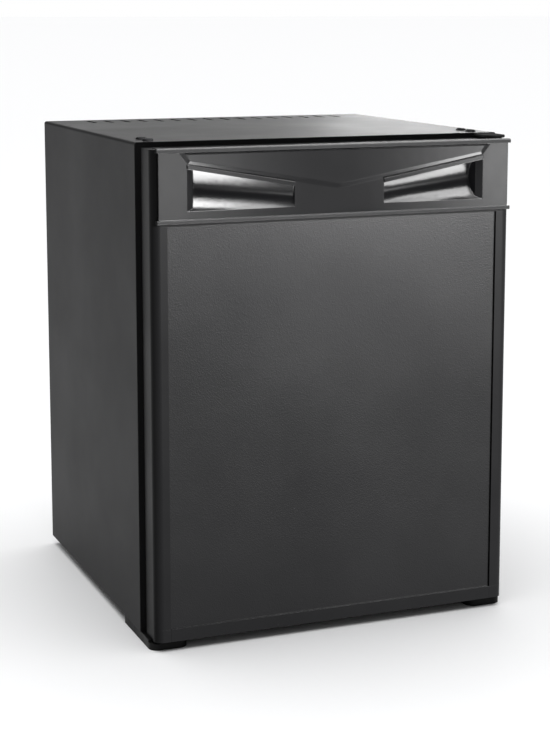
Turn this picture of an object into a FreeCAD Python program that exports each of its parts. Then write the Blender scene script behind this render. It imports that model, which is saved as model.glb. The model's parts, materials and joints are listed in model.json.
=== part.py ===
import FreeCAD, Part
import math
import os

import Sketcher

# A free-standing absorption minibar: a steel case on four feet, an insulated cabin,
# a cooling unit in an open chamber at the rear and a door hinged on the right.
# The front faces -Y, +Z is up, and the origin is on the floor under the middle.

Vector = FreeCAD.Vector
doc = FreeCAD.newDocument("minibar_fridge")
sheet = doc.addObject("Spreadsheet::Sheet", "Sizes")

driving_sizes = [
    # case
    ("case_width", 402, "case, side to side"),
    ("case_height", 502, "case, without the feet"),
    ("case_depth", 360, "case, front to rear"),
    ("case_sheet", 0.8, "sheet steel of case, base pan and rear skin"),
    ("case_bend", 3, "outer bend radius of the case's top edges"),
    ("case_flange", 10, "flanges turned inward round the case"),
    ("foot_height", 10, "floor to underside of the case"),
    ("fit_gap", 0.2, "clearance between fixed pieces that fit together"),
    ("run_gap", 0.4, "clearance between pieces that move past each other"),
    ("vent_count", 16, "vent slots in the top"),
    ("vent_pitch", 20.5, "vent slots, middle to middle"),
    ("vent_width", 5, "width of a vent slot"),
    ("vent_length", 36, "length of a vent slot"),
    ("vent_rear", 17, "rear edge of the case to the slots"),
    ("floor_vents", 6, "vent slots in the base pan"),
    # insulated cabin
    ("wall_side", 31, "case side to cabin side"),
    ("wall_top", 31, "case top to cabin roof"),
    ("wall_bottom", 31, "case underside to cabin floor"),
    ("wall_back", 35, "foam behind the liner"),
    ("cabin_rear", 115, "cabin back to case rear"),
    ("liner_wall", 2, "liner thickness"),
    ("liner_corner", 12, "inside corner radius of the liner"),
    ("rib_reach", 9, "shelf rib, out from the wall"),
    ("rib_root", 14, "shelf rib, height at the wall"),
    ("rib_tip", 5, "shelf rib, height at its edge"),
    ("rib_front", 32, "case front to the ribs"),
    ("rib_rear", 8, "ribs to the cabin back"),
    ("lower_shelf", 0.33, "lower ribs, share of the cabin's height"),
    ("upper_shelf", 0.62, "upper ribs, share of the cabin's height"),
    # shelves
    ("rod_radius", 2.25, "shelf frame rod"),
    ("wire_radius", 1.25, "shelf wire"),
    ("brace_radius", 1.75, "cross brace under the wires"),
    ("wire_count", 12, "wires of a shelf"),
    ("shelf_bend", 14, "corner radius of the shelf frame"),
    ("shelf_side", 3, "shelf to cabin side"),
    ("shelf_front", 96, "case front to shelf"),
    ("shelf_rear", 12, "shelf to cabin back"),
    ("wire_margin", 21, "shelf frame's side to the outermost wire"),
    # evaporator and drip tray
    ("evap_width", 210, "evaporator plate, side to side"),
    ("evap_height", 84, "evaporator plate, height"),
    ("evap_plate", 4, "evaporator plate, thickness"),
    ("evap_drop", 10, "cabin roof to evaporator"),
    ("evap_back", 16, "evaporator plate to cabin back"),
    ("fin_count", 14, "evaporator fins"),
    ("fin_sheet", 1.6, "evaporator fin, thickness"),
    ("fin_reach", 26, "evaporator fin, out from the plate"),
    ("evap_tube_radius", 6, "evaporator tube"),
    ("evap_tube_bend", 10, "bends of the evaporator tube, middle line"),
    ("tray_width", 224, "drip tray, side to side"),
    ("tray_depth", 54, "drip tray, front to rear"),
    ("tray_height", 16, "drip tray, height"),
    ("tray_wall", 1.6, "drip tray wall"),
    ("tray_drop", 8, "evaporator to drip tray"),
    ("tray_back", 6, "drip tray to cabin back"),
    ("tray_corner", 4.8, "rounded corners of the drip tray"),
    ("tray_lip", 5, "finger lip of the drip tray"),
    ("tray_lip_width", 56, "finger lip, side to side"),
    ("runner_wall", 3, "drip tray runner, thickness"),
    ("runner_ledge", 8, "drip tray runner, ledge under the tray"),
    # lamp and thermostat
    ("lamp_width", 124, "lamp housing, side to side"),
    ("lamp_depth", 52, "lamp housing, front to rear"),
    ("lamp_height", 27, "lamp housing, height"),
    ("lamp_front", 50, "case front to lamp housing"),
    ("lamp_side", 78, "cabin side to middle of the housing"),
    ("lamp_round", 4, "rounded lower edges of the housing"),
    ("lens_length", 62, "lamp lens, side to side"),
    ("lens_depth", 34, "lamp lens, front to rear"),
    ("lens_sheet", 3, "lamp lens, thickness"),
    ("lens_shift", -24, "middle of the housing to middle of the lens"),
    ("lens_grooves", 13, "grooves across the lens"),
    ("knob_shift", 38, "middle of the housing to the knob"),
    ("knob_radius", 10.5, "thermostat knob"),
    ("knob_length", 11, "thermostat knob, out from the housing"),
    ("knob_skirt", 3, "thermostat knob, skirt thickness"),
    ("knob_grip", 5, "thermostat knob, width of the grip bar"),
    ("spindle_radius", 3, "knob spindle"),
    ("spindle_length", 9, "knob spindle in the housing"),
    ("spindle_clear", 0.06, "running clearance of pins and spindles"),
    # door
    ("door_gap", 8, "case front to door rear, closed by the gasket"),
    ("door_depth", 32, "door, front to rear"),
    ("door_inset", 4, "case side to door side"),
    ("door_top_drop", 4.7, "case top to door top"),
    ("door_corner", 8.6, "rounded front corners of the door"),
    ("profile_face", 16, "front face of a side profile"),
    ("profile_wall", 2.2, "wall of the door's frame mouldings"),
    ("panel_sheet", 2, "door panel thickness"),
    ("panel_lap", 5, "door panel behind the frame"),
    ("strip_height", 13.2, "bottom strip and corner caps"),
    ("cap_height", 75.3, "top cap of the door"),
    ("door_liner_wall", 2, "door liner thickness"),
    ("dam_side", 7, "cabin wall to the raised rim on the door"),
    ("dam_width", 16, "raised rim, width"),
    ("dam_reach", 22, "raised rim, into the cabin"),
    ("dam_corner", 10, "raised rim, corner radius"),
    # handle fascia
    ("fascia_plate", 4.6, "fascia plate, out from the door"),
    ("fascia_proud", 7, "fascia lips, out from the door"),
    ("fascia_side", 5.7, "door side to fascia plate"),
    ("lip_side", 3.8, "door side to fascia lips"),
    ("lip_height", 4.2, "height of a fascia lip"),
    ("lip_round", 1.6, "rounded edges of the lips"),
    ("fascia_rise", 1.1, "fascia above the door top"),
    ("fascia_low", 2.4, "top cap's lower edge to the fascia"),
    ("vee_proud", 1.7, "raised V, out from the plate"),
    ("vee_top_side", 24, "door side to the ends of the raised V at the upper lip"),
    ("vee_kink_side", 36, "door side to the kinks of the V"),
    ("vee_kink_drop", 12.5, "upper lip to the kinks of the V"),
    ("vee_apex_drop", 40.5, "upper lip to the point of the V"),
    ("vee_slope", 70, "slope of the V's border, from upright"),
    ("grip_inner", 49, "middle to the inner end of a grip"),
    ("grip_side", 35, "door side to the outer end of a grip"),
    ("grip_low", 12.1, "fascia's lower edge to the grips"),
    ("grip_tall", 41.5, "grip height at its outer end"),
    ("grip_short", 21.2, "grip height at its inner end"),
    ("grip_back", 8, "plate face to a scoop's upper edge, outer end"),
    ("grip_back_inner", 2, "plate face to a scoop's upper edge, inner end"),
    ("grip_bow", 9, "bulge of a scoop's arc behind its chord, outer end"),
    ("grip_bow_inner", 2.2, "bulge of a scoop's arc behind its chord, inner end"),
    ("grip_ramp", 6.7, "length of the gentle ramp at a scoop's outer end"),
    ("grip_ramp_deep", 3.5, "plate face to the ridge where the ramp ends"),
    ("grip_drop", 5, "length of the steep wall behind the ridge"),
    ("grip_wall", 2, "wall round a scoop"),
    ("brow_height", 4.2, "grip bar over each scoop"),
    ("brow_proud", 1.6, "grip bar, out from the plate"),
    # hinge
    ("hinge_in", 12, "door side to hinge axis"),
    ("hinge_back", 17, "door rear to hinge axis"),
    ("pin_radius", 4, "hinge pins"),
    ("pin_length", 13, "hinge pin in its bush"),
    ("bush_wall", 2, "wall of a hinge bush"),
    ("bush_flange", 1, "flange of a hinge bush"),
    ("bush_flange_radius", 8.5, "flange radius of a hinge bush"),
    ("boss_wall", 3, "wall of the bosses round the bushes"),
    ("hinge_plate", 2.5, "hinge plate thickness"),
    ("hinge_plate_half", 11.5, "half the width of the hinge plate"),
    ("hinge_plate_rear", 62, "case front to the plate's rear end"),
    ("hinge_plate_nose", 11, "hinge axis to the plate's front end"),
    ("screw_side", 20, "case side to the hinge screws"),
    ("screw_front", 20, "case front to the first hinge screw"),
    ("screw_pitch", 22, "hinge screws, middle to middle"),
    ("screw_radius", 2, "screw shanks"),
    ("head_radius", 5.5, "heads of hinge screws and plugs"),
    ("head_height", 2, "heads of hinge screws and plugs"),
    ("shank_length", 3, "hinge screw shanks"),
    # gasket
    ("seal_width", 13, "gasket, across"),
    ("seal_overlap", 1.5, "cabin edge to gasket"),
    ("seal_foot", 2.4, "gasket foot against the door"),
    ("seal_neck", 7, "gasket bellows, across"),
    ("magnet_width", 9, "magnet strip, across"),
    ("magnet_height", 2.4, "magnet strip, thickness"),
    ("seal_skin", 0.8, "gasket skin over the magnet strip"),
    # door racks
    ("rack_side", 7, "raised rim to the racks"),
    ("rack_depth", 82, "rack, front to rear"),
    ("rack_wall", 2.5, "rack walls"),
    ("rack_corner", 16, "rounded front corners of the racks"),
    ("lower_rack", 20, "raised rim's lower edge to the lower rack"),
    ("lower_rack_height", 84, "lower rack, height"),
    ("upper_rack", 230, "raised rim's lower edge to the upper rack"),
    ("upper_rack_height", 62, "upper rack, height"),
    ("window_sill", 26, "rack front below its opening"),
    ("window_rail", 14, "rail over the opening"),
    ("window_side", 24, "rack side to the opening"),
    ("ear_height", 9, "rack ears that sit on the lugs"),
    ("ear_depth", 22, "rack ears, front to rear"),
    ("ear_rise", 30, "rack floor to the underside of its ears"),
    ("lug_height", 10, "lugs on the door liner"),
    # feet
    ("foot_width", 40, "front foot, side to side"),
    ("foot_inset", 1, "case side to front foot"),
    ("foot_rear", 59, "case front to the foot's rear end"),
    ("foot_front", 33, "case front to the foot's front end"),
    ("foot_nose", 7, "height of the foot under the door"),
    ("foot_corner", 10, "rounded front corners of the foot"),
    ("foot_rim", 3.2, "raised outer rim of the foot"),
    ("rear_foot_radius", 15, "rear feet"),
    ("rear_foot_side", 40, "case side to rear foot"),
    ("rear_foot_rear", 26, "case rear to rear foot"),
    ("rear_foot_taper", 2, "rear foot's sole inside its rim"),
    ("foot_screw_head", 4.5, "foot screw heads"),
    ("foot_screw_height", 3, "foot screw heads"),
    ("foot_screw_deep", 4, "floor to the foot screw heads"),
    ("foot_screw_side", 22, "case side to the front foot's screws"),
    ("foot_screw_front", 16, "case front to the first foot screw"),
    ("foot_screw_pitch", 28, "front foot's screws, middle to middle"),
    # cooling unit
    ("unit_rear", 38, "case rear to the middle plane of the unit"),
    ("pipe_radius", 7, "condenser, absorber and exchanger pipes"),
    ("boiler_side", 61, "case side to the boiler"),
    ("boiler_low", 90, "case underside to the boiler cover"),
    ("boiler_drop", 112, "case top to the boiler cover"),
    ("boiler_radius", 31, "boiler cover"),
    ("boiler_sheet", 1, "boiler cover wall"),
    ("boiler_tube_radius", 11, "boiler tube"),
    ("boiler_tube_out", 10, "boiler tube above and inside the cover's ends"),
    ("heater_radius", 6, "heater cartridge"),
    ("heater_height", 100, "heater cartridge, height"),
    ("heater_rise", 20, "cover's lower end to the heater"),
    ("strap_sheet", 1.2, "boiler strap"),
    ("strap_height", 16, "boiler strap, height"),
    ("strap_rise", 150, "cover's lower end to the strap"),
    ("condenser_drop", 27, "case top to the condenser pipe"),
    ("condenser_bend", 24, "condenser bends, middle line"),
    ("condenser_fins", 12, "condenser fins"),
    ("condenser_share", 20, "condenser run over the pitch of its fins"),
    ("condenser_fin", 44, "condenser fin, side of the square"),
    ("condenser_sheet", 0.8, "condenser fin, thickness"),
    ("exchanger_radius", 13, "gas heat exchanger"),
    ("exchanger_low", 180, "case underside to the exchanger"),
    ("exchanger_drop", 24, "evaporator tube to the exchanger's upper end"),
    ("exchanger_gap", 80, "boiler to exchanger, middle to middle"),
    ("stub_reach", 8, "welded stubs on exchanger and vessel"),
    ("vessel_radius", 27, "absorber vessel"),
    ("vessel_gap", 66, "boiler's middle to the absorber vessel"),
    ("vessel_dome", 9, "absorber vessel, depth of its domed ends"),
    ("vessel_rise", 72, "case underside to the vessel's middle"),
    ("vessel_side", 45, "case side to the vessel"),
    ("coil_runs", 7, "straight runs of the absorber coil"),
    ("coil_drop", 25, "exchanger's upper end to the highest run"),
    ("coil_low", 130, "case underside to the lowest run"),
    ("coil_left", 56, "case side to the coil's left bends"),
    ("coil_gap", 60, "exchanger's middle to the coil's right bends"),
    ("coil_foot", 101, "case side to the coil's lower end"),
    ("coil_foot_bend", 12, "bend at the coil's lower end, middle line"),
    ("rail_width", 14, "foot of the angle rails behind the absorber coil"),
    ("rail_sheet", 1.5, "sheet of the angle rails"),
    ("rail_shift", 20, "coil bends to the rails"),
    ("saddle_sheet", 3, "vessel saddles, thickness"),
    ("saddle_width", 60, "vessel saddles, front to rear"),
    ("saddle_shift", 34, "vessel ends to the saddles"),
    ("solution_radius", 6, "solution pipe"),
    ("solution_bend", 15, "solution pipe bend, middle line"),
    # electrics
    ("box_width", 92, "control box, side to side"),
    ("box_height", 54, "control box, height"),
    ("box_side", 10, "case side to the control box"),
    ("box_front", 6, "rear skin to the control box"),
    ("box_rear", 8, "case rear to the control box"),
    ("box_wall", 2, "control box walls"),
    ("inlet_width", 30, "power inlet flange, side to side"),
    ("inlet_height", 24, "power inlet flange, height"),
    ("inlet_flange", 2.5, "power inlet flange, thickness"),
    ("inlet_body", 4, "power inlet flange beyond its body, all round"),
    ("inlet_deep", 18, "power inlet body, depth"),
    ("inlet_wall", 2, "power inlet walls"),
    ("blade_width", 4, "power inlet blades"),
    ("blade_sheet", 2, "power inlet blades, thickness"),
    ("blade_pitch", 7, "power inlet blades, side to side"),
    ("blade_stagger", 3, "power inlet, middle blade above the others"),
    ("lead_radius", 2.5, "heater lead"),
    ("lead_shift", 18, "boiler to the heater lead"),
]


class Size:
    """A length with the sheet formula that gives it, so that both stay together."""

    def __init__(self, value, formula):
        self.value = float(value)
        self.formula = formula

    def __add__(self, other):
        other = as_size(other)
        return Size(self.value + other.value, f"({self.formula} + {other.formula})")

    def __sub__(self, other):
        other = as_size(other)
        return Size(self.value - other.value, f"({self.formula} - {other.formula})")

    def __mul__(self, other):
        other = as_size(other)
        return Size(self.value * other.value, f"({self.formula} * {other.formula})")

    def __truediv__(self, other):
        other = as_size(other)
        return Size(self.value / other.value, f"({self.formula} / {other.formula})")

    def __neg__(self):
        return Size(-self.value, f"(-1 * {self.formula})")

    __radd__ = __add__
    __rmul__ = __mul__


def as_size(amount):
    """A plain number as a size."""
    if isinstance(amount, Size):
        return amount
    return Size(amount, f"({amount})")


class SizeSheet:
    """The driving sizes, by name, as they stand in the sheet."""

    def __init__(self, rows):
        for row, (name, value, meaning) in enumerate(rows, start=1):
            sheet.set(f"A{row}", meaning)
            sheet.set(f"B{row}", str(value))
            sheet.setAlias(f"B{row}", name)
            setattr(self, name, Size(value, f"Sizes.{name}"))


size = SizeSheet(driving_sizes)
doc.recompute()


# Shared places, each worked out once from the driving sizes.
half = size.case_width / 2
depth_all = size.case_depth + size.door_gap + size.door_depth + size.fascia_proud
case_front = size.fascia_proud + size.door_depth + size.door_gap - depth_all / 2
case_rear = case_front + size.case_depth
case_low = size.foot_height
case_top = case_low + size.case_height
inside = half - size.case_sheet
roof = case_top - size.case_sheet
pan_low = case_low + size.case_sheet
pan_top = pan_low + size.case_sheet
cabin_half = half - size.wall_side
cabin_low = case_low + size.wall_bottom
cabin_top = case_top - size.wall_top
lower_rib = cabin_low + (cabin_top - cabin_low) * size.lower_shelf
upper_rib = cabin_low + (cabin_top - cabin_low) * size.upper_shelf
cabin_back = case_rear - size.cabin_rear
flange_front = case_front + size.case_sheet
foam_front = flange_front + size.liner_wall
foam_back = cabin_back + size.liner_wall + size.wall_back
skin_back = foam_back + size.case_sheet
door_rear = case_front - size.door_gap
door_front = door_rear - size.door_depth
door_half = half - size.door_inset
door_low = size.foot_height
door_high = case_top - size.door_top_drop
profile_low = door_low + size.strip_height
profile_inner = door_half - size.profile_face
cap_low = door_high - size.cap_height
axis_x = door_half - size.hinge_in
axis_y = door_rear - size.hinge_back
plate_low = roof - size.hinge_plate
bush_radius = size.pin_radius + size.spindle_clear + size.bush_wall
boss_radius = bush_radius + size.boss_wall
fascia_low = cap_low + size.fascia_low
fascia_high = door_high + size.fascia_rise
fascia_front = door_front - size.fascia_plate
evap_top = cabin_top - size.evap_drop
evap_low = evap_top - size.evap_height
evap_plate_back = cabin_back - size.evap_back
evap_tube_y = evap_plate_back + size.evap_tube_radius + size.fit_gap
evap_tube_z = evap_low + size.evap_height / 2
tray_top = evap_low - size.tray_drop
tray_low = tray_top - size.tray_height
tray_rear = cabin_back - size.tray_back
tray_front = tray_rear - size.tray_depth
tray_half = size.tray_width / 2
unit_y = case_rear - size.unit_rear
boiler_x = half - size.boiler_side
boiler_low = case_low + size.boiler_low
boiler_high = case_top - size.boiler_drop
leg = boiler_x - size.exchanger_gap
condenser_z = case_top - size.condenser_drop
exchanger_low = case_low + size.exchanger_low
exchanger_high = evap_tube_z - size.exchanger_drop
vessel_z = case_low + size.vessel_rise
vessel_left = size.vessel_side - half
vessel_right = boiler_x - size.vessel_gap
stub_top = vessel_z + size.vessel_radius + size.stub_reach
coil_left = size.coil_left - half
coil_right = leg - size.coil_gap
coil_foot_x = size.coil_foot - half
coil_low = case_low + size.coil_low
coil_high = exchanger_high - size.coil_drop
coil_runs = round(size.coil_runs.value)
coil_pitch = (coil_high - coil_low) / (coil_runs - 1)
coil_bend = coil_pitch / 2
dam_half = cabin_half - size.dam_side
dam_low = cabin_low + size.dam_side
dam_top = cabin_top - size.dam_side
dam_back = case_front + size.dam_reach
rim_half = dam_half - size.dam_width
rim_low = dam_low + size.dam_width
rim_top = dam_top - size.dam_width
rack_half = rim_half - size.rack_side
rack_rear = door_rear + size.run_gap
rack_front = rack_rear + size.rack_depth
lower_rack_low = dam_low + size.lower_rack
upper_rack_low = dam_low + size.upper_rack
lamp_x = cabin_half - size.lamp_side
lamp_front = case_front + size.lamp_front
lamp_low = cabin_top - size.lamp_height
knob_x = lamp_x + size.knob_shift
knob_z = cabin_top - size.lamp_height / 2
box_left = half - size.box_side - size.box_width
box_right = half - size.box_side
box_front = skin_back + size.box_front
box_rear = case_rear - size.box_rear
box_top = pan_top + size.box_height
grip_low = fascia_low + size.grip_low
grip_outer = door_half - size.grip_side
grip_rear = fascia_front + size.grip_back / 2 + size.grip_bow + size.grip_wall

plane_roles = {"XY": ("XY_Plane", 1), "XZ": ("XZ_Plane", -1), "YZ": ("YZ_Plane", 1)}
turns = {
    "x": FreeCAD.Rotation(Vector(0, 1, 0), 90),
    "y": FreeCAD.Rotation(Vector(1, 0, 0), -90),
    "z": FreeCAD.Rotation(),
}
sub_parts = []


def bind(item, prop, amount):
    """Tie a property to the sheet."""
    item.setExpression(prop, as_size(amount).formula)


def keep(item, label):
    """Name a finished sub-part."""
    item.Label = label
    sub_parts.append(item)
    return item


def place(item, x, y, z):
    bind(item, "Placement.Base.x", x)
    bind(item, "Placement.Base.y", y)
    bind(item, "Placement.Base.z", z)


def block(name, x, y, z):
    """A box between two places on each axis."""
    item = doc.addObject("Part::Box", name)
    for prop, (low, high) in zip(("Length", "Width", "Height"), (x, y, z)):
        bind(item, prop, as_size(high) - low)
    place(item, x[0], y[0], z[0])
    return item


def rod(name, radius, axis, start, length):
    """A cylinder from the middle of one end along +X, +Y or +Z."""
    item = doc.addObject("Part::Cylinder", name)
    item.Placement = FreeCAD.Placement(Vector(), turns[axis])
    bind(item, "Radius", radius)
    bind(item, "Height", length)
    place(item, *start)
    return item


def join(name, *items):
    item = doc.addObject("Part::MultiFuse", name)
    item.Shapes = list(items)
    item.Refine = True
    return item


def cut(name, base, *tools):
    item = doc.addObject("Part::Cut", name)
    item.Base = base
    item.Tool = tools[0] if len(tools) == 1 else join(name + "_tools", *tools)
    item.Refine = True
    return item


def group(name, items):
    """Equal pieces that share a file."""
    item = doc.addObject("Part::Compound", name)
    item.Links = list(items)
    return item


def straight_edges(shape, axis, **places):
    """Numbers of the straight edges along one axis whose other coordinates are among the places."""
    found = []
    for number, edge in enumerate(shape.Edges, start=1):
        if len(edge.Vertexes) != 2 or not isinstance(edge.Curve, Part.Line):
            continue
        run = edge.Vertexes[1].Point - edge.Vertexes[0].Point
        if abs(abs(getattr(run, axis)) - run.Length) > 1e-6:
            continue
        middle = edge.CenterOfMass
        wanted = all(
            any(abs(getattr(middle, name) - as_size(place).value) < 1e-4 for place in allowed)
            for name, allowed in places.items()
        )
        if wanted:
            found.append(number)
    return found


def round_edges(name, base, radius, *picks):
    """A solid with chosen straight edges rounded."""
    doc.recompute()
    numbers = []
    for axis, places in picks:
        numbers += straight_edges(base.Shape, axis, **places)
    item = doc.addObject("Part::Fillet", name)
    item.Base = base
    item.Edges = [(number, radius.value, radius.value) for number in numbers]
    return item


def new_body(name):
    return doc.addObject("PartDesign::Body", name)


def settle(feature):
    """Recompute, and stop at once where a feature has failed."""
    doc.recompute()
    if "Invalid" in feature.State or "Error" in feature.State:
        raise ValueError(f"{feature.Name} failed: {feature.State}")
    return feature


def new_sketch(body, name, plane, level):
    """A sketch parallel to one of the body's own planes."""
    role, sign = plane_roles[plane]
    sketch = body.newObject("Sketcher::SketchObject", name)
    support = [plane for plane in body.Origin.OriginFeatures if plane.Role == role][0]
    sketch.AttachmentSupport = [(support, "")]
    sketch.MapMode = "FlatFace"
    bind(sketch, "AttachmentOffset.Base.z", as_size(level) * sign)
    return sketch


def fix_point(sketch, edge, end, across, up):
    """Tie a point of the sketch to its place."""
    for kind, amount in (("DistanceX", as_size(across)), ("DistanceY", as_size(up))):
        rule = sketch.addConstraint(Sketcher.Constraint(kind, -1, 1, edge, end, amount.value))
        bind(sketch, f"Constraints[{rule}]", amount)


def fix_radius(sketch, edge, radius):
    rule = sketch.addConstraint(Sketcher.Constraint("Radius", edge, radius.value))
    bind(sketch, f"Constraints[{rule}]", radius)


def flat(point):
    return Vector(as_size(point[0]).value, as_size(point[1]).value, 0)


def draw_outline(sketch, points):
    """A closed outline of straight edges."""
    first = sketch.GeometryCount
    count = len(points)
    for index in range(count):
        ends = flat(points[index]), flat(points[(index + 1) % count])
        sketch.addGeometry(Part.LineSegment(*ends), False)
    for index in range(count):
        follower = first + (index + 1) % count
        sketch.addConstraint(Sketcher.Constraint("Coincident", first + index, 2, follower, 1))
    for index, (across, up) in enumerate(points):
        fix_point(sketch, first + index, 1, across, up)


def draw_circle(sketch, across, up, radius):
    middle = flat((across, up))
    edge = sketch.addGeometry(Part.Circle(middle, Vector(0, 0, 1), radius.value), False)
    fix_point(sketch, edge, 3, across, up)
    fix_radius(sketch, edge, radius)


def draw_slot(sketch, across, low, high, radius):
    """An upright slot with round ends, from the middle of one end to that of the other."""
    upper = Part.Circle(flat((across, high)), Vector(0, 0, 1), radius.value)
    lower = Part.Circle(flat((across, low)), Vector(0, 0, 1), radius.value)
    left = as_size(across) - radius
    right = as_size(across) + radius
    edges = [
        sketch.addGeometry(Part.ArcOfCircle(upper, 0, math.pi), False),
        sketch.addGeometry(Part.LineSegment(flat((left, high)), flat((left, low))), False),
        sketch.addGeometry(Part.ArcOfCircle(lower, math.pi, 2 * math.pi), False),
        sketch.addGeometry(Part.LineSegment(flat((right, low)), flat((right, high))), False),
    ]
    for index in range(4):
        follower = edges[(index + 1) % 4]
        sketch.addConstraint(Sketcher.Constraint("Tangent", edges[index], 2, follower, 1))
    sketch.addConstraint(Sketcher.Constraint("Equal", edges[0], edges[2]))
    fix_point(sketch, edges[0], 3, across, high)
    fix_point(sketch, edges[2], 3, across, low)
    fix_radius(sketch, edges[0], radius)


def draw_scoop(sketch, front, low, high, back, bow, clear):
    """A hollow's section: an arc from the front plane up to a point behind it, closed before it."""
    rise = high - low
    radius = (rise * rise + back * back) / (bow * 8) + bow / 2
    middle = flat((front + back / 2 + bow, low + rise / 2))
    mouth = front - clear
    arc = Part.Arc(flat((front, low)), middle, flat((front + back, high)))
    edges = [
        sketch.addGeometry(arc, False),
        sketch.addGeometry(Part.LineSegment(flat((front + back, high)), flat((mouth, high))), False),
        sketch.addGeometry(Part.LineSegment(flat((mouth, high)), flat((mouth, low))), False),
        sketch.addGeometry(Part.LineSegment(flat((mouth, low)), flat((front, low))), False),
    ]
    sketch.addConstraint(Sketcher.Constraint("Coincident", edges[0], 2, edges[1], 1))
    sketch.addConstraint(Sketcher.Constraint("Coincident", edges[1], 2, edges[2], 1))
    sketch.addConstraint(Sketcher.Constraint("Coincident", edges[2], 2, edges[3], 1))
    sketch.addConstraint(Sketcher.Constraint("Coincident", edges[3], 2, edges[0], 1))
    fix_point(sketch, edges[1], 1, front + back, high)
    fix_point(sketch, edges[2], 1, mouth, high)
    fix_point(sketch, edges[3], 1, mouth, low)
    fix_point(sketch, edges[0], 1, front, low)
    fix_radius(sketch, edges[0], radius)


def rectangle(across, up):
    return [(across[0], up[0]), (across[1], up[0]), (across[1], up[1]), (across[0], up[1])]


def add_pad(body, name, plane, outlines, start, length):
    """Material on closed outlines, from a level towards the plus side of the third axis."""
    sketch = new_sketch(body, name + "_sketch", plane, start)
    for points in outlines:
        draw_outline(sketch, points)
    feature = body.newObject("PartDesign::Pad", name)
    feature.Profile = sketch
    feature.Reversed = plane == "XZ"
    bind(feature, "Length", length)
    return settle(feature)


def finish_pocket(body, feature, sketch, plane, length):
    before = body.Shape.Volume
    feature.Profile = sketch
    feature.Reversed = plane != "XZ"
    bind(feature, "Length", length)
    settle(feature)
    if body.Shape.Volume >= before:
        raise ValueError(feature.Name + " cut nothing")


def add_pocket(body, name, plane, outlines, start, length):
    """A cut on closed outlines, from a level towards the plus side of the third axis."""
    sketch = new_sketch(body, name + "_sketch", plane, start)
    for points in outlines:
        draw_outline(sketch, points)
    doc.recompute()
    feature = body.newObject("PartDesign::Pocket", name)
    finish_pocket(body, feature, sketch, plane, length)
    return feature


def add_holes(body, name, plane, middles, radius, start, length):
    """Round holes of one size."""
    sketch = new_sketch(body, name + "_sketch", plane, start)
    for across, up in middles:
        draw_circle(sketch, across, up, radius)
    doc.recompute()
    feature = body.newObject("PartDesign::Pocket", name)
    finish_pocket(body, feature, sketch, plane, length)
    return feature


def add_fillet(body, name, radius, *picks):
    """Rounded straight edges on a body."""
    base = body.Tip
    numbers = []
    for axis, places in picks:
        numbers += straight_edges(base.Shape, axis, **places)
    feature = body.newObject("PartDesign::Fillet", name)
    feature.Base = (base, [f"Edge{number}" for number in numbers])
    bind(feature, "Radius", radius)
    return settle(feature)


def add_row(body, name, feature, axis, length, count):
    """Copies of a feature in a row along its sketch's own axis."""
    row = body.newObject("PartDesign::LinearPattern", name)
    row.Originals = [feature]
    row.Direction = (feature.Profile[0], [axis])
    bind(row, "Length", length)
    bind(row, "Occurrences", count)
    body.Tip = row
    return settle(row)


def turned(name, middle, outline):
    """A solid turned about an upright axis through a place: points are radius and height."""
    body = new_body(name)
    sketch = new_sketch(body, name + "_sketch", "XZ", 0)
    draw_outline(sketch, outline)
    feature = body.newObject("PartDesign::Revolution", name + "_turn")
    feature.Profile = sketch
    feature.ReferenceAxis = (sketch, ["V_Axis"])
    feature.Angle = 360
    place(body, middle[0], middle[1], 0)
    settle(feature)
    return body


def pipe(name, points, radius, bends):
    """A round pipe along straight runs joined by tangent arcs; bends holds one radius per corner."""
    spots = [Vector(*(as_size(amount).value for amount in point)) for point in points]
    edges = []
    here = spots[0]
    for index in range(1, len(spots) - 1):
        back = (spots[index - 1] - spots[index]).normalize()
        ahead = (spots[index + 1] - spots[index]).normalize()
        turn = math.pi - back.getAngle(ahead)
        reach = bends[index - 1].value * math.tan(turn / 2)
        enter = spots[index] + back * reach
        leave = spots[index] + ahead * reach
        inward = (back + ahead).normalize()
        middle = spots[index] + inward * (reach / math.sin(turn / 2) - bends[index - 1].value)
        if (enter - here).Length > 1e-6:
            edges.append(Part.LineSegment(here, enter).toShape())
        edges.append(Part.Arc(enter, middle, leave).toShape())
        here = leave
    if (spots[-1] - here).Length > 1e-6:
        edges.append(Part.LineSegment(here, spots[-1]).toShape())
    path = Part.Wire(edges)
    ring = Part.makeCircle(radius.value, spots[0], spots[1] - spots[0])
    solid = path.makePipeShell([Part.Wire(ring)], True, False)
    expected = math.pi * radius.value ** 2 * path.Length
    if abs(solid.Volume / expected - 1) > 0.01:
        raise ValueError(f"{name}: volume {solid.Volume:.0f}, expected {expected:.0f}")
    item = doc.addObject("Part::Feature", name)
    item.Shape = solid
    item.Placement = FreeCAD.Placement()
    return item


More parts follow.
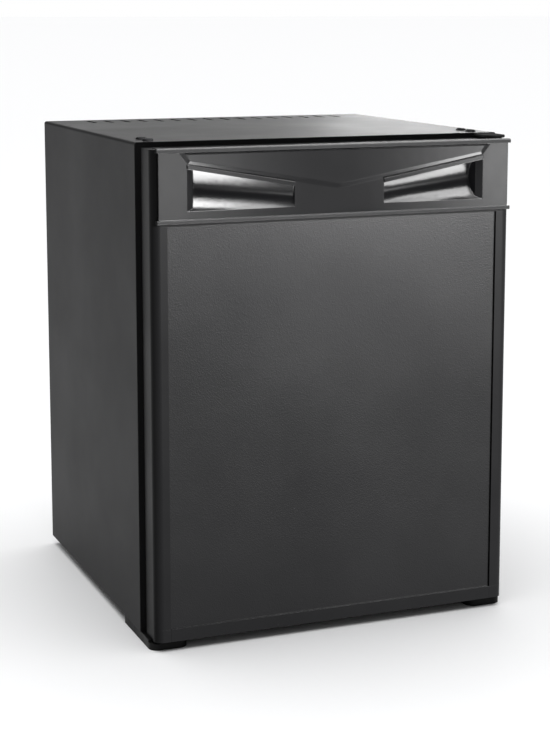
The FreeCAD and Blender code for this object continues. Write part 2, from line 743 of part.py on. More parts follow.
def case_wrap():
    """One bent sheet: top and sides, with a flange turned in round the front, rear and foot."""
    body = new_body("case_wrap")
    bent = [(-half, case_low), (-half, case_top), (half, case_top), (half, case_low)]
    bent += [(inside, case_low), (inside, roof), (-inside, roof), (-inside, case_low)]
    add_pad(body, "bent_sheet", "XZ", [bent], case_front, size.case_depth)
    edge = half - size.case_flange
    lintel = case_top - size.case_flange
    frame = [(-half, case_low), (-half, case_top), (half, case_top), (half, case_low)]
    frame += [(edge, case_low), (edge, lintel), (-edge, lintel), (-edge, case_low)]
    add_pad(body, "front_flange", "XZ", [frame], case_front, size.case_sheet)
    add_pad(body, "rear_flange", "XZ", [frame], case_rear - size.case_sheet, size.case_sheet)
    along = (case_front, case_rear)
    feet = [rectangle((-half, -edge), along), rectangle((edge, half), along)]
    add_pad(body, "foot_flanges", "XY", feet, case_low, size.case_sheet)
    inner_bend = size.case_bend - size.case_sheet
    add_fillet(body, "inner_bends", inner_bend, ("y", {"x": (-inside, inside), "z": (roof,)}))
    add_fillet(body, "outer_bends", size.case_bend, ("y", {"x": (-half, half), "z": (case_top,)}))
    slot_radius = size.vent_width / 2
    slot_high = case_rear - size.vent_rear - slot_radius
    slot_low = slot_high - size.vent_length + size.vent_width
    row_length = size.vent_pitch * (size.vent_count - 1)
    sketch = new_sketch(body, "vent_sketch", "XY", roof)
    draw_slot(sketch, row_length / -2, slot_low, slot_high, slot_radius)
    doc.recompute()
    slot = body.newObject("PartDesign::Pocket", "vent_slot")
    finish_pocket(body, slot, sketch, "XY", size.case_sheet)
    add_row(body, "vent_row", slot, "H_Axis", row_length, size.vent_count)
    clear = size.screw_radius + size.fit_gap
    holes = hinge_screw_places(-1) + hinge_screw_places(1)
    add_holes(body, "screw_holes", "XY", holes, clear, roof, size.case_sheet)
    span = size.hinge_plate_half + size.fit_gap
    notch = [rectangle((axis_x - span, axis_x + span), (plate_low - size.fit_gap, roof))]
    add_pocket(body, "hinge_notch", "XZ", notch, case_front, size.case_sheet)
    keep(body, "case_wrap")


def hinge_screw_places(side):
    """The two screws of a hinge plate, on the left (-1) or right (1) of the case top."""
    across = (half - size.screw_side) * side
    first = case_front + size.screw_front
    return [(across, first), (across, first + size.screw_pitch)]


def foot_screw_places():
    """Screws of the four feet."""
    places = []
    for side in (-1, 1):
        across = (half - size.foot_screw_side) * side
        first = case_front + size.foot_screw_front
        places += [(across, first), (across, first + size.foot_screw_pitch)]
        places.append(((half - size.rear_foot_side) * side, case_rear - size.rear_foot_rear))
    return places


def base_pan():
    """The floor sheet, which lies on the case's foot flanges, slotted under the rear chamber."""
    body = new_body("base_pan")
    side = inside - size.fit_gap
    front = flange_front + size.fit_gap
    rear = case_rear - size.case_sheet - size.fit_gap
    add_pad(body, "pan_sheet", "XY", [rectangle((-side, side), (front, rear))], pan_low, size.case_sheet)
    clear = size.screw_radius + size.fit_gap
    add_holes(body, "foot_holes", "XY", foot_screw_places(), clear, pan_low, size.case_sheet)
    slot_radius = size.vent_width / 2
    middle = unit_y - size.saddle_width / 4
    sketch = new_sketch(body, "air_sketch", "XY", pan_low)
    start = vessel_left + size.saddle_shift + size.vent_pitch
    draw_slot(sketch, start, middle, middle + size.saddle_width / 2, slot_radius)
    doc.recompute()
    slot = body.newObject("PartDesign::Pocket", "air_slot")
    finish_pocket(body, slot, sketch, "XY", size.case_sheet)
    row_length = size.vent_pitch * (size.floor_vents - 1)
    add_row(body, "air_row", slot, "H_Axis", row_length, size.floor_vents)
    keep(body, "base_pan")


def tub(name, half_width, low, high, back, corner):
    """The cabin's round-cornered block, open side at the front."""
    plain = block(name + "_block", (-half_width, half_width), (flange_front, back), (low, high))
    sides = ("y", {"x": (-half_width, half_width), "z": (low, high)})
    uprights = ("z", {"x": (-half_width, half_width), "y": (back,)})
    levels = ("x", {"z": (low, high), "y": (back,)})
    return round_edges(name, plain, corner, sides, uprights, levels)


def shelf_rib(name, side, top):
    """One rib on a cabin wall, flat on top and sloping below."""
    body = new_body(name)
    wall = (cabin_half + size.liner_wall / 2) * side
    tip = (cabin_half - size.rib_reach) * side
    outline = [(wall, top), (tip, top), (tip, top - size.rib_tip), (wall, top - size.rib_root)]
    start = case_front + size.rib_front
    add_pad(body, name + "_pad", "XZ", [outline], start, cabin_back - size.rib_rear - start)
    return body


def tube_bores(name, radius):
    """Bores for the two evaporator legs, from the cabin to the rear chamber."""
    bores = []
    for side in (-1, 1):
        start = (leg * side, evap_plate_back, evap_tube_z)
        bores.append(rod(name, radius, "y", start, skin_back + size.wall_back - evap_plate_back))
    return bores


def insulated_walls():
    """Liner, foam and rear skin, which fit into each other."""
    wall = size.liner_wall
    outer = tub("liner_outside", cabin_half + wall, cabin_low - wall, cabin_top + wall,
                cabin_back + wall, size.liner_corner + wall)
    inner = tub("liner_inside", cabin_half, cabin_low, cabin_top, cabin_back, size.liner_corner)
    side = inside - size.fit_gap
    floor = pan_top + size.fit_gap
    flange_top = plate_low - size.fit_gap
    flange = block("liner_flange", (-side, side), (flange_front, foam_front), (floor, flange_top))
    ribs = []
    for top in (lower_rib, upper_rib):
        for hand in (-1, 1):
            ribs.append(shelf_rib("shelf_rib", hand, top))
    bore_radius = size.evap_tube_radius + size.fit_gap
    blank = join("liner_blank", flange, outer)
    shell = cut("liner_shell", blank, inner, *tube_bores("liner_bore", bore_radius))
    keep(join("inner_liner", shell, *ribs), "inner_liner")

    ceiling = roof - size.fit_gap
    plain = block("foam_block", (-side, side), (foam_front, foam_back), (floor, ceiling))
    edges = ("y", {"x": (-side, side), "z": (ceiling,)})
    foam = round_edges("foam_rounded", plain, size.case_bend, edges)
    reach = size.hinge_plate_half + size.fit_gap
    plate_rear = case_front + size.hinge_plate_rear + size.fit_gap
    shank_low = roof - size.shank_length - size.fit_gap
    seats = []
    for hand in (-1, 1):
        seat = (axis_x * hand - reach, axis_x * hand + reach)
        seats.append(block("hinge_seat", seat, (foam_front, plate_rear), (shank_low, roof)))
    bores = tube_bores("foam_bore", bore_radius)
    keep(cut("insulation_foam", foam, outer, *seats, *bores), "insulation_foam")

    skin_side = half - size.case_flange / 2
    skin_top = roof - size.case_flange
    skin = block("skin_sheet", (-skin_side, skin_side), (foam_back, skin_back), (floor, skin_top))
    keep(cut("rear_skin", skin, *tube_bores("skin_bore", bore_radius)), "rear_skin")


def wire_shelf(name, rib_top):
    """A welded shelf: a bent rod frame with wires across it."""
    side = cabin_half - size.shelf_side - size.rod_radius
    front = case_front + size.shelf_front + size.rod_radius
    rear = cabin_back - size.shelf_rear - size.rod_radius
    height = rib_top + size.rod_radius + size.fit_gap
    middle = (front + rear) / 2
    seam = (front + middle) / 2
    loop = [(-side, seam), (-side, rear), (side, rear), (side, front), (-side, front), (-side, seam)]
    points = [(across, along, height) for across, along in loop]
    frame = pipe(name + "_frame", points, size.rod_radius, [size.shelf_bend] * 4)
    wires = []
    count = round(size.wire_count.value)
    outermost = side - size.wire_margin
    pitch = outermost * 2 / (count - 1)
    for index in range(count):
        start = (pitch * index - outermost, front, height + size.rod_radius)
        wires.append(rod(name + "_wire", size.wire_radius, "y", start, rear - front))
    brace = rod(name + "_brace", size.brace_radius, "x", (-side, middle, height), side * 2)
    keep(join(name, frame, brace, *wires), name)


def evaporator():
    """The cold plate with its upright fins, and the U of tube behind it."""
    body = new_body("evaporator_fins")
    side = size.evap_width / 2
    front = evap_plate_back - size.evap_plate
    plate = [rectangle((-side, side), (front, evap_plate_back))]
    add_pad(body, "cold_plate", "XY", plate, evap_low, size.evap_height)
    first = [rectangle((-side, size.fin_sheet - side), (front - size.fin_reach, front))]
    fin = add_pad(body, "cold_fin", "XY", first, evap_low, size.evap_height)
    add_row(body, "cold_fins", fin, "H_Axis", size.evap_width - size.fin_sheet, size.fin_count)
    keep(body, "evaporator_fins")

    turn_up = evap_tube_z + size.evap_tube_bend * 2
    points = [
        (-leg, unit_y, turn_up),
        (-leg, unit_y, evap_tube_z),
        (-leg, evap_tube_y, evap_tube_z),
        (leg, evap_tube_y, evap_tube_z),
        (leg, unit_y, evap_tube_z),
        (leg, unit_y, exchanger_high),
    ]
    tube = pipe("evaporator_tube", points, size.evap_tube_radius, [size.evap_tube_bend] * 4)
    keep(tube, "evaporator_tube")


def drip_tray():
    """A shallow tray with a finger lip, and the two runners that carry it."""
    body = new_body("drip_tray")
    wall = size.tray_wall
    plan = [rectangle((-tray_half, tray_half), (tray_front, tray_rear))]
    add_pad(body, "tray_block", "XY", plan, tray_low, size.tray_height)
    corners = ("z", {"x": (-tray_half, tray_half), "y": (tray_front, tray_rear)})
    add_fillet(body, "tray_corners", size.tray_corner, corners)
    well = [rectangle((wall - tray_half, tray_half - wall), (tray_front + wall, tray_rear - wall))]
    add_pocket(body, "tray_well", "XY", well, tray_low + wall, size.tray_height)
    lip_half = size.tray_lip_width / 2
    grip = [rectangle((-lip_half, lip_half), (tray_front - size.tray_lip, tray_front + wall))]
    add_pad(body, "tray_lip", "XY", grip, tray_top - wall, wall)
    keep(body, "drip_tray")

    runners = []
    for side in (-1, 1):
        runner = new_body("runner")
        near = tray_half + size.run_gap
        far = near + size.runner_wall
        shelf = tray_low - size.run_gap
        foot = shelf - size.runner_wall
        ledge = near - size.runner_ledge
        outline = [(ledge, foot), (far, foot), (far, tray_top)]
        outline += [(near, tray_top), (near, shelf), (ledge, shelf)]
        outline = [(across * side, up) for across, up in outline]
        start = tray_front + wall
        add_pad(runner, "runner_pad", "XZ", [outline], start, cabin_back - start)
        runners.append(runner)
    keep(group("tray_runners", runners), "tray_runners")


def lamp_and_thermostat():
    """The housing under the cabin roof, its lens and the thermostat knob."""
    body = new_body("lamp_housing")
    left = lamp_x - size.lamp_width / 2
    right = lamp_x + size.lamp_width / 2
    rear = lamp_front + size.lamp_depth
    plan = [rectangle((left, right), (lamp_front, rear))]
    add_pad(body, "housing_block", "XY", plan, lamp_low, size.lamp_height)
    low_edges = [("x", {"z": (lamp_low,)}), ("y", {"z": (lamp_low,)})]
    uprights = ("z", {"x": (left, right)})
    add_fillet(body, "housing_edges", size.lamp_round, uprights, *low_edges)
    lens_x = lamp_x + size.lens_shift
    lens_y = lamp_front + size.lamp_depth / 2
    reach = size.lens_length / 2
    span = size.lens_depth / 2
    seat = [rectangle((lens_x - reach, lens_x + reach), (lens_y - span, lens_y + span))]
    add_pocket(body, "lens_seat", "XY", seat, lamp_low, size.lens_sheet)
    bore = size.spindle_radius + size.spindle_clear
    spindle_run = size.spindle_length + size.run_gap
    add_holes(body, "spindle_bore", "XZ", [(knob_x, knob_z)], bore, lamp_front, spindle_run)
    keep(body, "lamp_housing")

    lens = new_body("lamp_lens")
    reach = reach - size.fit_gap
    span = span - size.fit_gap
    face = [rectangle((lens_x - reach, lens_x + reach), (lens_y - span, lens_y + span))]
    add_pad(lens, "lens_sheet", "XY", face, lamp_low, size.lens_sheet)
    groove_x = (lens_x - reach, lens_x - reach + size.lens_sheet / 2)
    first = [rectangle(groove_x, (lens_y - span, lens_y + span))]
    groove = add_pocket(lens, "lens_groove", "XY", first, lamp_low, size.lens_sheet / 4)
    row_length = (reach - size.lens_sheet / 4) * 2
    add_row(lens, "lens_grooves", groove, "H_Axis", row_length, size.lens_grooves)
    keep(lens, "lamp_lens")

    knob = new_body("thermostat_knob")
    back = lamp_front - size.run_gap
    face_y = back - size.knob_length
    skirt_y = back - size.knob_skirt
    middle = (knob_x, knob_z)
    add_round(knob, "knob_skirt", "XZ", middle, size.knob_radius, skirt_y, size.knob_skirt)
    grip = size.knob_grip / 2
    tall = size.knob_radius - size.run_gap
    bar = [rectangle((knob_x - grip, knob_x + grip), (knob_z - tall, knob_z + tall))]
    add_pad(knob, "knob_bar", "XZ", bar, face_y, size.knob_length - size.knob_skirt)
    add_fillet(knob, "knob_bar_edges", grip / 2, ("z", {"y": (face_y,)}), ("x", {"y": (face_y,)}))
    add_round(knob, "knob_spindle", "XZ", middle, size.spindle_radius, back, spindle_run)
    keep(knob, "thermostat_knob")


def add_round(body, name, plane, middle, radius, start, length):
    """A round boss on a body, towards the plus side of the third axis."""
    sketch = new_sketch(body, name + "_sketch", plane, start)
    draw_circle(sketch, middle[0], middle[1], radius)
    feature = body.newObject("PartDesign::Pad", name)
    feature.Profile = sketch
    feature.Reversed = plane == "XZ"
    bind(feature, "Length", length)
    return settle(feature)


def corner_section(side, inner, rear):
    """Outline of a door edge seen from above: side wall and front face, square corners."""
    wall = size.profile_wall
    outline = [
        (door_half, rear),
        (door_half, door_front),
        (inner, door_front),
        (inner, door_front + wall),
        (door_half - wall, door_front + wall),
        (door_half - wall, rear),
    ]
    return [(across * side, along) for across, along in outline]


def round_corner(body, side):
    """The rounded front corner of a door edge, inside first so that the wall stays even."""
    wall = size.profile_wall
    inner_x = (door_half - wall) * side
    outer_x = door_half * side
    inside_edge = ("z", {"x": (inner_x,), "y": (door_front + wall,)})
    outside_edge = ("z", {"x": (outer_x,), "y": (door_front,)})
    add_fillet(body, "corner_inside", size.door_corner - wall, inside_edge)
    add_fillet(body, "corner_outside", size.door_corner, outside_edge)


def side_profile(name, side):
    """An extruded door edge between the bottom corner cap and the top cap."""
    body = new_body(name)
    section = [corner_section(side, profile_inner, door_rear)]
    add_pad(body, "profile", "XY", section, profile_low, cap_low - profile_low)
    round_corner(body, side)
    keep(body, name)


def bottom_cap(name, side):
    """A moulded bottom corner of the door, with the boss that takes a hinge bush."""
    body = new_body(name)
    section = [corner_section(side, profile_inner, door_rear)]
    add_pad(body, "cap_walls", "XY", section, door_low, size.strip_height)
    wall = size.profile_wall
    reach = axis_x - boss_radius - size.fit_gap
    floor = [(door_half - wall / 2, door_rear), (door_half - wall / 2, door_front + wall / 2)]
    floor += [(profile_inner, door_front + wall / 2), (profile_inner, door_front + wall)]
    floor += [(reach, door_front + wall), (reach, door_rear)]
    floor = [(across * side, along) for across, along in floor]
    add_pad(body, "cap_floor", "XY", [floor], door_low, wall)
    add_round(body, "cap_boss", "XY", (axis_x * side, axis_y), boss_radius, door_low, size.strip_height)
    round_corner(body, side)
    bore = [(axis_x * side, axis_y)]
    add_holes(body, "bush_bore", "XY", bore, bush_radius, door_low, size.strip_height)
    keep(body, name)


def bottom_strip():
    """The strip along the door's bottom edge, between the corner caps."""
    body = new_body("bottom_strip")
    wall = size.profile_wall
    face_half = profile_inner - size.fit_gap
    face = [rectangle((-face_half, face_half), (door_low, profile_low))]
    add_pad(body, "strip_face", "XZ", face, door_front, wall)
    floor_half = axis_x - boss_radius - size.fit_gap * 2
    floor = [rectangle((-floor_half, floor_half), (door_front + wall, door_rear))]
    add_pad(body, "strip_floor", "XY", floor, door_low, wall)
    keep(body, "bottom_strip")


def top_cap():
    """The moulded top of the door: top, sides and a front with openings for the grips."""
    body = new_body("door_top_cap")
    wall = size.profile_wall
    plan = [rectangle((-door_half, door_half), (door_front, door_rear))]
    add_pad(body, "cap_block", "XY", plan, cap_low, size.cap_height)
    well_half = door_half - wall
    well = [rectangle((-well_half, well_half), (door_front + wall, door_rear))]
    add_pocket(body, "cap_well", "XY", well, cap_low, size.cap_height - wall)
    well_corners = ("z", {"x": (-well_half, well_half), "y": (door_front + wall,)})
    add_fillet(body, "well_corners", size.door_corner - wall, well_corners)
    corners = ("z", {"x": (-door_half, door_half), "y": (door_front,)})
    add_fillet(body, "cap_corners", size.door_corner, corners)
    boss_low = door_high - size.pin_length - size.boss_wall
    boss_height = door_high - boss_low - wall / 2
    for side in (-1, 1):
        boss_place = (axis_x * side, axis_y)
        add_round(body, "cap_boss", "XY", boss_place, boss_radius, boss_low, boss_height)
    bores = [(axis_x * side, axis_y) for side in (-1, 1)]
    add_holes(body, "bush_bores", "XY", bores, bush_radius, boss_low, door_high - boss_low)
    windows = []
    for side in (-1, 1):
        near, far, low, high = grip_box(size.fit_gap)
        windows.append(rectangle((near * side, far * side), (low, high)))
    add_pocket(body, "grip_windows", "XZ", windows, door_front, wall)
    keep(body, "door_top_cap")


def grip_box(clear):
    """Outside of the box round a scoop: near and far side, lower and upper edge."""
    wall = size.grip_wall + clear
    near = size.grip_inner - wall
    far = grip_outer + wall
    return near, far, grip_low - wall, grip_low + size.grip_tall + wall


def handle_fascia():
    """The moulded fascia: lips, a raised V, and two scooped grips under their bars."""
    body = new_body("handle_fascia")
    plate_half = door_half - size.fascia_side
    lip_half = door_half - size.lip_side
    plate = [rectangle((-plate_half, plate_half), (fascia_low, fascia_high))]
    add_pad(body, "fascia_plate", "XZ", plate, fascia_front, size.fascia_plate)
    lip_front = door_front - size.fascia_proud
    upper_lip = fascia_high - size.lip_height
    lips = [
        rectangle((-lip_half, lip_half), (fascia_low, fascia_low + size.lip_height)),
        rectangle((-lip_half, lip_half), (upper_lip, fascia_high)),
    ]
    add_pad(body, "fascia_lips", "XZ", lips, lip_front, size.fascia_proud)
    lip_edges = ("x", {"y": (lip_front,), "z": (fascia_low, fascia_low + size.lip_height, fascia_high)})
    add_fillet(body, "lip_edges", size.lip_round, lip_edges)

    boxes = []
    for side in (-1, 1):
        near, far, low, high = grip_box(0)
        boxes.append(rectangle((near * side, far * side), (low, high)))
    add_pad(body, "grip_boxes", "XZ", boxes, door_front, grip_rear - door_front)

    kink = upper_lip - size.vee_kink_drop
    apex = upper_lip - size.vee_apex_drop
    crest = fascia_high - size.lip_round
    top_half = door_half - size.vee_top_side
    kink_half = door_half - size.vee_kink_side
    vee = [(-top_half, crest), (-kink_half, kink), (0, apex), (kink_half, kink), (top_half, crest)]
    add_raised(body, "raised_vee", vee, size.vee_proud, size.vee_slope)

    brow_front = fascia_front - size.brow_proud
    for side in (-1, 1):
        outer = grip_outer * side
        inner = size.grip_inner * side
        high = grip_low + size.grip_tall
        low = grip_low + size.grip_short
        bar = [(outer, high), (inner, low)]
        bar += [(inner, low + size.brow_height), (outer, high + size.brow_height)]
        add_pad(body, "brow", "XZ", [bar], brow_front, size.brow_proud)

    for side in (-1, 1):
        add_scoop(body, side)
    keep(body, "handle_fascia")


def add_raised(body, name, points, proud, slope):
    """A raised field on the fascia plate, with a sloping border that narrows to the front."""
    sketch = new_sketch(body, name + "_sketch", "XZ", fascia_front)
    draw_outline(sketch, points)
    feature = body.newObject("PartDesign::Pad", name)
    feature.Profile = sketch
    bind(feature, "Length", proud)
    bind(feature, "TaperAngle", -slope)
    return settle(feature)


def add_scoop(body, side):
    """A grip hollow that deepens and widens outward, closed by a ramp and a steep wall."""
    stations = [
        (size.grip_inner, size.grip_short, size.grip_back_inner, size.grip_bow_inner),
        (grip_outer, size.grip_tall, size.grip_back, size.grip_bow),
    ]
    sketches = []
    clear = size.fascia_proud - size.fascia_plate
    for place_x, tall, back, bow in stations:
        sketch = new_sketch(body, "scoop_sketch", "YZ", place_x * side)
        draw_scoop(sketch, fascia_front, grip_low, grip_low + tall, back, bow, clear)
        sketches.append(sketch)
    doc.recompute()
    before = body.Shape.Volume
    feature = body.newObject("PartDesign::SubtractiveLoft", "scoop")
    feature.Profile = sketches[0]
    feature.Sections = sketches[1:]
    feature.Ruled = True
    settle(feature)
    if body.Shape.Volume >= before:
        raise ValueError("scoop cut nothing")
    ridge = grip_outer - size.grip_ramp
    ramp = [
        (grip_outer * side, fascia_front),
        (ridge * side, fascia_front + size.grip_ramp_deep),
        ((ridge - size.grip_drop) * side, grip_rear),
        (grip_outer * side, grip_rear),
    ]
    add_pad(body, "grip_ramp", "XY", [ramp], grip_low, size.grip_tall)


def door_panel():
    """The grained front sheet, held behind the frame on three sides and under the top cap."""
    body = new_body("door_panel")
    side = profile_inner + size.panel_lap
    low = profile_low - size.panel_lap
    front = door_front + size.profile_wall
    face = [rectangle((-side, side), (low, cap_low - size.fit_gap))]
    add_pad(body, "panel_sheet", "XZ", face, front, size.panel_sheet)
    keep(body, "door_panel")


def dam_ring(name, grow, front, back):
    """The raised rim inside the door as a round-cornered ring; grow thickens it all round."""
    outer = dam_half + grow
    hole = rim_half - grow
    full = block(name + "_full", (-outer, outer), (front, back), (dam_low - grow, dam_top + grow))
    full_edges = ("y", {"x": (-outer, outer), "z": (dam_low - grow, dam_top + grow)})
    full = round_edges(name + "_outside", full, size.dam_corner + grow, full_edges)
    void = block(name + "_void", (-hole, hole), (front, back), (rim_low + grow, rim_top - grow))
    return cut(name, full, void)


def door_inside():
    """Door liner with its rim and rack lugs, and the foam that fills the door."""
    wall = size.door_liner_wall
    side = door_half - size.profile_wall - size.fit_gap
    low = door_low + size.profile_wall + size.fit_gap
    high = door_high - size.profile_wall - size.fit_gap
    front = door_rear - wall
    plate = block("liner_plate", (-side, side), (front, door_rear), (low, high))
    nothing = as_size(0)
    ring = dam_ring("rim_skin", nothing, front, dam_back)
    core = dam_ring("rim_core", -wall, front, dam_back - wall)
    lugs = []
    for rack_low in (lower_rack_low, upper_rack_low):
        lug_top = rack_low + size.ear_rise - size.run_gap
        for hand in (-1, 1):
            near = (rack_half + size.run_gap) * hand
            far = (rim_half + wall / 2) * hand
            across = (near, far) if hand > 0 else (far, near)
            along = (door_rear, rack_rear + size.ear_depth)
            lugs.append(block("rack_lug", across, along, (lug_top - size.lug_height, lug_top)))
    shell = cut("door_liner_shell", join("door_liner_blank", plate, ring), core)
    keep(join("door_liner", shell, *lugs), "door_liner")

    gap = size.fit_gap
    foam_half = door_half - size.door_corner
    panel_back = door_front + size.profile_wall + size.panel_sheet
    slab_z = (profile_low + gap, cap_low - gap)
    slab = block("door_slab", (-foam_half, foam_half), (panel_back, front), slab_z)
    head_half = axis_x - boss_radius - gap
    head = block("door_head", (-head_half, head_half), (grip_rear, front), (cap_low - gap, high))
    rim = dam_ring("rim_foam", -wall - gap, front, dam_back - wall - gap)
    keep(join("door_foam", slab, head, rim), "door_foam")


def gasket():
    """The seal: a foot on the door, a narrow bellows and a soft bead round the magnet strip."""
    inner_half = cabin_half + size.seal_overlap
    inner_low = cabin_low - size.seal_overlap
    inner_top = cabin_top + size.seal_overlap
    width = size.seal_width
    bead_front = case_front - size.run_gap
    bead_rear = bead_front - size.magnet_height - size.seal_skin * 2

    def ring(name, inset, y_low, y_high):
        along = (y_low, y_high)
        outer_half = inner_half + width - inset
        outer_z = (inner_low - width + inset, inner_top + width - inset)
        outer = block(name + "_outer", (-outer_half, outer_half), along, outer_z)
        hole_half = inner_half + inset
        hole_z = (inner_low - inset, inner_top + inset)
        hole = block(name + "_hole", (-hole_half, hole_half), along, hole_z)
        return cut(name, outer, hole)

    neck_inset = (width - size.seal_neck) / 2
    foot = ring("seal_foot_ring", as_size(0), door_rear, door_rear + size.seal_foot)
    neck = ring("seal_neck_ring", neck_inset, door_rear + size.seal_foot, bead_rear)
    bead = ring("seal_bead_ring", as_size(0), bead_rear, bead_front)
    magnet_inset = (width - size.magnet_width) / 2
    seat = bead_rear + size.seal_skin
    void = ring("magnet_seat", magnet_inset, seat, seat + size.magnet_height)
    keep(cut("gasket", join("seal_blank", foot, neck, bead), void), "gasket")
    clear = size.fit_gap / 2
    strip = ring("magnet_strip", magnet_inset + clear, seat + clear, seat + size.magnet_height - clear)
    keep(strip, "gasket_magnet")


def door_rack(name, low, height):
    """A bottle rack with an open front rail and two ears that sit on the liner's lugs."""
    body = new_body(name)
    wall = size.rack_wall
    plan = [rectangle((-rack_half, rack_half), (rack_rear, rack_front))]
    add_pad(body, "rack_block", "XY", plan, low, height)
    inner = rack_half - wall
    well = [rectangle((-inner, inner), (rack_rear + wall, rack_front - wall))]
    add_pocket(body, "rack_well", "XY", well, low + wall, height)
    inner_corners = ("z", {"x": (-inner, inner), "y": (rack_front - wall,)})
    add_fillet(body, "well_corners", size.rack_corner - wall, inner_corners)
    outer_corners = ("z", {"x": (-rack_half, rack_half), "y": (rack_front,)})
    add_fillet(body, "rack_corners", size.rack_corner, outer_corners)
    open_half = rack_half - size.window_side
    window = [rectangle((-open_half, open_half), (low + size.window_sill, low + height - size.window_rail))]
    add_pocket(body, "rack_window", "XZ", window, rack_front - wall, wall)
    ear_low = low + size.ear_rise
    for side in (-1, 1):
        across = ((rack_half - wall / 2) * side, (rim_half - size.run_gap) * side)
        ear = [rectangle(across, (rack_rear, rack_rear + size.ear_depth))]
        add_pad(body, "rack_ear", "XY", ear, ear_low, size.ear_height)
    keep(body, name)


def hinge():
    """Plate, pins and bushes on the right, with the screws, and plugs in the unused places."""
    body = new_body("hinge_plate")
    reach = size.hinge_plate_half
    nose = axis_y - size.hinge_plate_nose
    plan = [rectangle((axis_x - reach, axis_x + reach), (nose, case_front + size.hinge_plate_rear))]
    add_pad(body, "plate_sheet", "XY", plan, plate_low, size.hinge_plate)
    add_fillet(body, "plate_nose", reach - size.fit_gap, ("z", {"y": (nose,)}))
    clear = size.screw_radius + size.fit_gap
    add_holes(body, "plate_holes", "XY", hinge_screw_places(1), clear, plate_low, size.hinge_plate)
    keep(body, "hinge_plate")

    pin_low = door_high - size.pin_length
    upper_pin = rod("upper_hinge_pin", size.pin_radius, "z", (axis_x, axis_y, pin_low), plate_low - pin_low)
    keep(upper_pin, "upper_hinge_pin")
    pin_base = size.foot_height - size.foot_nose
    pin_top = door_low + size.pin_length
    lower_pin = rod("lower_hinge_pin", size.pin_radius, "z", (axis_x, axis_y, pin_base), pin_top - pin_base)
    keep(lower_pin, "lower_hinge_pin")

    bore = size.pin_radius + size.spindle_clear
    flange = size.bush_flange_radius
    upper_low = door_high - size.pin_length - size.run_gap
    upper = [(bore, upper_low), (bush_radius, upper_low), (bush_radius, door_high), (flange, door_high)]
    upper += [(flange, door_high + size.bush_flange), (bore, door_high + size.bush_flange)]
    keep(turned("upper_hinge_bush", (axis_x, axis_y), upper), "upper_hinge_bush")
    lower_flange = door_low - size.bush_flange
    lower_top = door_low + size.pin_length + size.run_gap
    lower = [(bore, lower_flange), (flange, lower_flange), (flange, door_low), (bush_radius, door_low)]
    lower += [(bush_radius, lower_top), (bore, lower_top)]
    keep(turned("lower_hinge_bush", (axis_x, axis_y), lower), "lower_hinge_bush")

    heads = size.head_radius
    screws = []
    low = roof - size.shank_length
    head_top = case_top + size.head_height
    for place_x, place_y in hinge_screw_places(1):
        outline = [(0, low), (size.screw_radius, low), (size.screw_radius, case_top), (heads, case_top)]
        outline += [(heads - size.head_height / 2, head_top), (0, head_top)]
        screws.append(turned("hinge_screw", (place_x, place_y), outline))
    keep(group("hinge_screws", screws), "hinge_screws")
    plugs = []
    rim_top = case_top + size.head_height / 2
    for place_x, place_y in hinge_screw_places(-1):
        outline = [(0, roof), (size.screw_radius, roof), (size.screw_radius, case_top), (heads, case_top)]
        outline += [(heads, rim_top), (heads - size.head_height / 2, head_top), (0, head_top)]
        plugs.append(turned("blanking_plug", (place_x, place_y), outline))
    keep(group("blanking_plugs", plugs), "blanking_plugs")

    stem = bush_radius - size.fit_gap
    top_low = door_high - size.pin_length
    top_high = door_high + size.bush_flange / 2
    top = [(0, top_low), (stem, top_low), (stem, top_high), (0, top_high)]
    low_end = [(0, door_low), (stem, door_low), (stem, profile_low), (0, profile_low)]
    middle = (-axis_x, axis_y)
    sockets = [turned("socket_plug", middle, top), turned("socket_plug", middle, low_end)]
    keep(group("socket_plugs", sockets), "socket_plugs")


def front_foot(name, side):
    """A moulded front foot: a block under the case and a lower nose under the door."""
    body = new_body(name)
    outer = (half - size.foot_inset) * side
    inner = (half - size.foot_inset - size.foot_width) * side
    nose_y = case_front - size.foot_front
    rear_y = case_front + size.foot_rear
    add_pad(body, "foot_sole", "XY", [rectangle((inner, outer), (nose_y, rear_y))], 0, size.foot_nose)
    add_fillet(body, "foot_corners", size.foot_corner, ("z", {"x": (inner, outer), "y": (nose_y,)}))
    step_y = case_front + size.fit_gap
    step = [rectangle((inner, outer), (step_y, rear_y))]
    add_pad(body, "foot_block", "XY", step, size.foot_nose, size.foot_height - size.foot_nose)
    rim_in = outer - size.foot_rim * side
    rim_y = nose_y + size.foot_corner
    rim_high = size.foot_height - size.run_gap - size.foot_nose
    add_pad(body, "foot_rim", "XY", [rectangle((rim_in, outer), (rim_y, step_y))], size.foot_nose, rim_high)
    screws = []
    for place_x, place_y in foot_screw_places():
        if place_x.value * side > 0 and place_y.value < rear_y.value:
            screws.append((place_x, place_y))
    add_holes(body, "screw_bores", "XY", screws, size.screw_radius + size.fit_gap, 0, size.foot_height)
    head_bore = size.foot_screw_head + size.fit_gap
    head_top = size.foot_screw_deep + size.foot_screw_height
    add_holes(body, "head_bores", "XY", screws, head_bore, 0, head_top)
    if side > 0:
        seat = size.foot_height - size.foot_nose
        add_holes(body, "pin_seat", "XY", [(axis_x, axis_y)], size.pin_radius, seat, size.foot_nose)
    keep(body, name)


def rear_foot(name, side):
    """A turned rear foot with a sunk screw."""
    middle = ((half - size.rear_foot_side) * side, case_rear - size.rear_foot_rear)
    radius = size.rear_foot_radius
    bore = size.screw_radius + size.fit_gap
    head = size.foot_screw_head + size.fit_gap
    step = size.foot_screw_deep + size.foot_screw_height
    sole = radius - size.rear_foot_taper
    outline = [(head, 0), (sole, 0), (radius, size.foot_height / 2), (radius, pan_low)]
    outline += [(bore, pan_low), (bore, step), (head, step)]
    keep(turned(name, middle, outline), name)


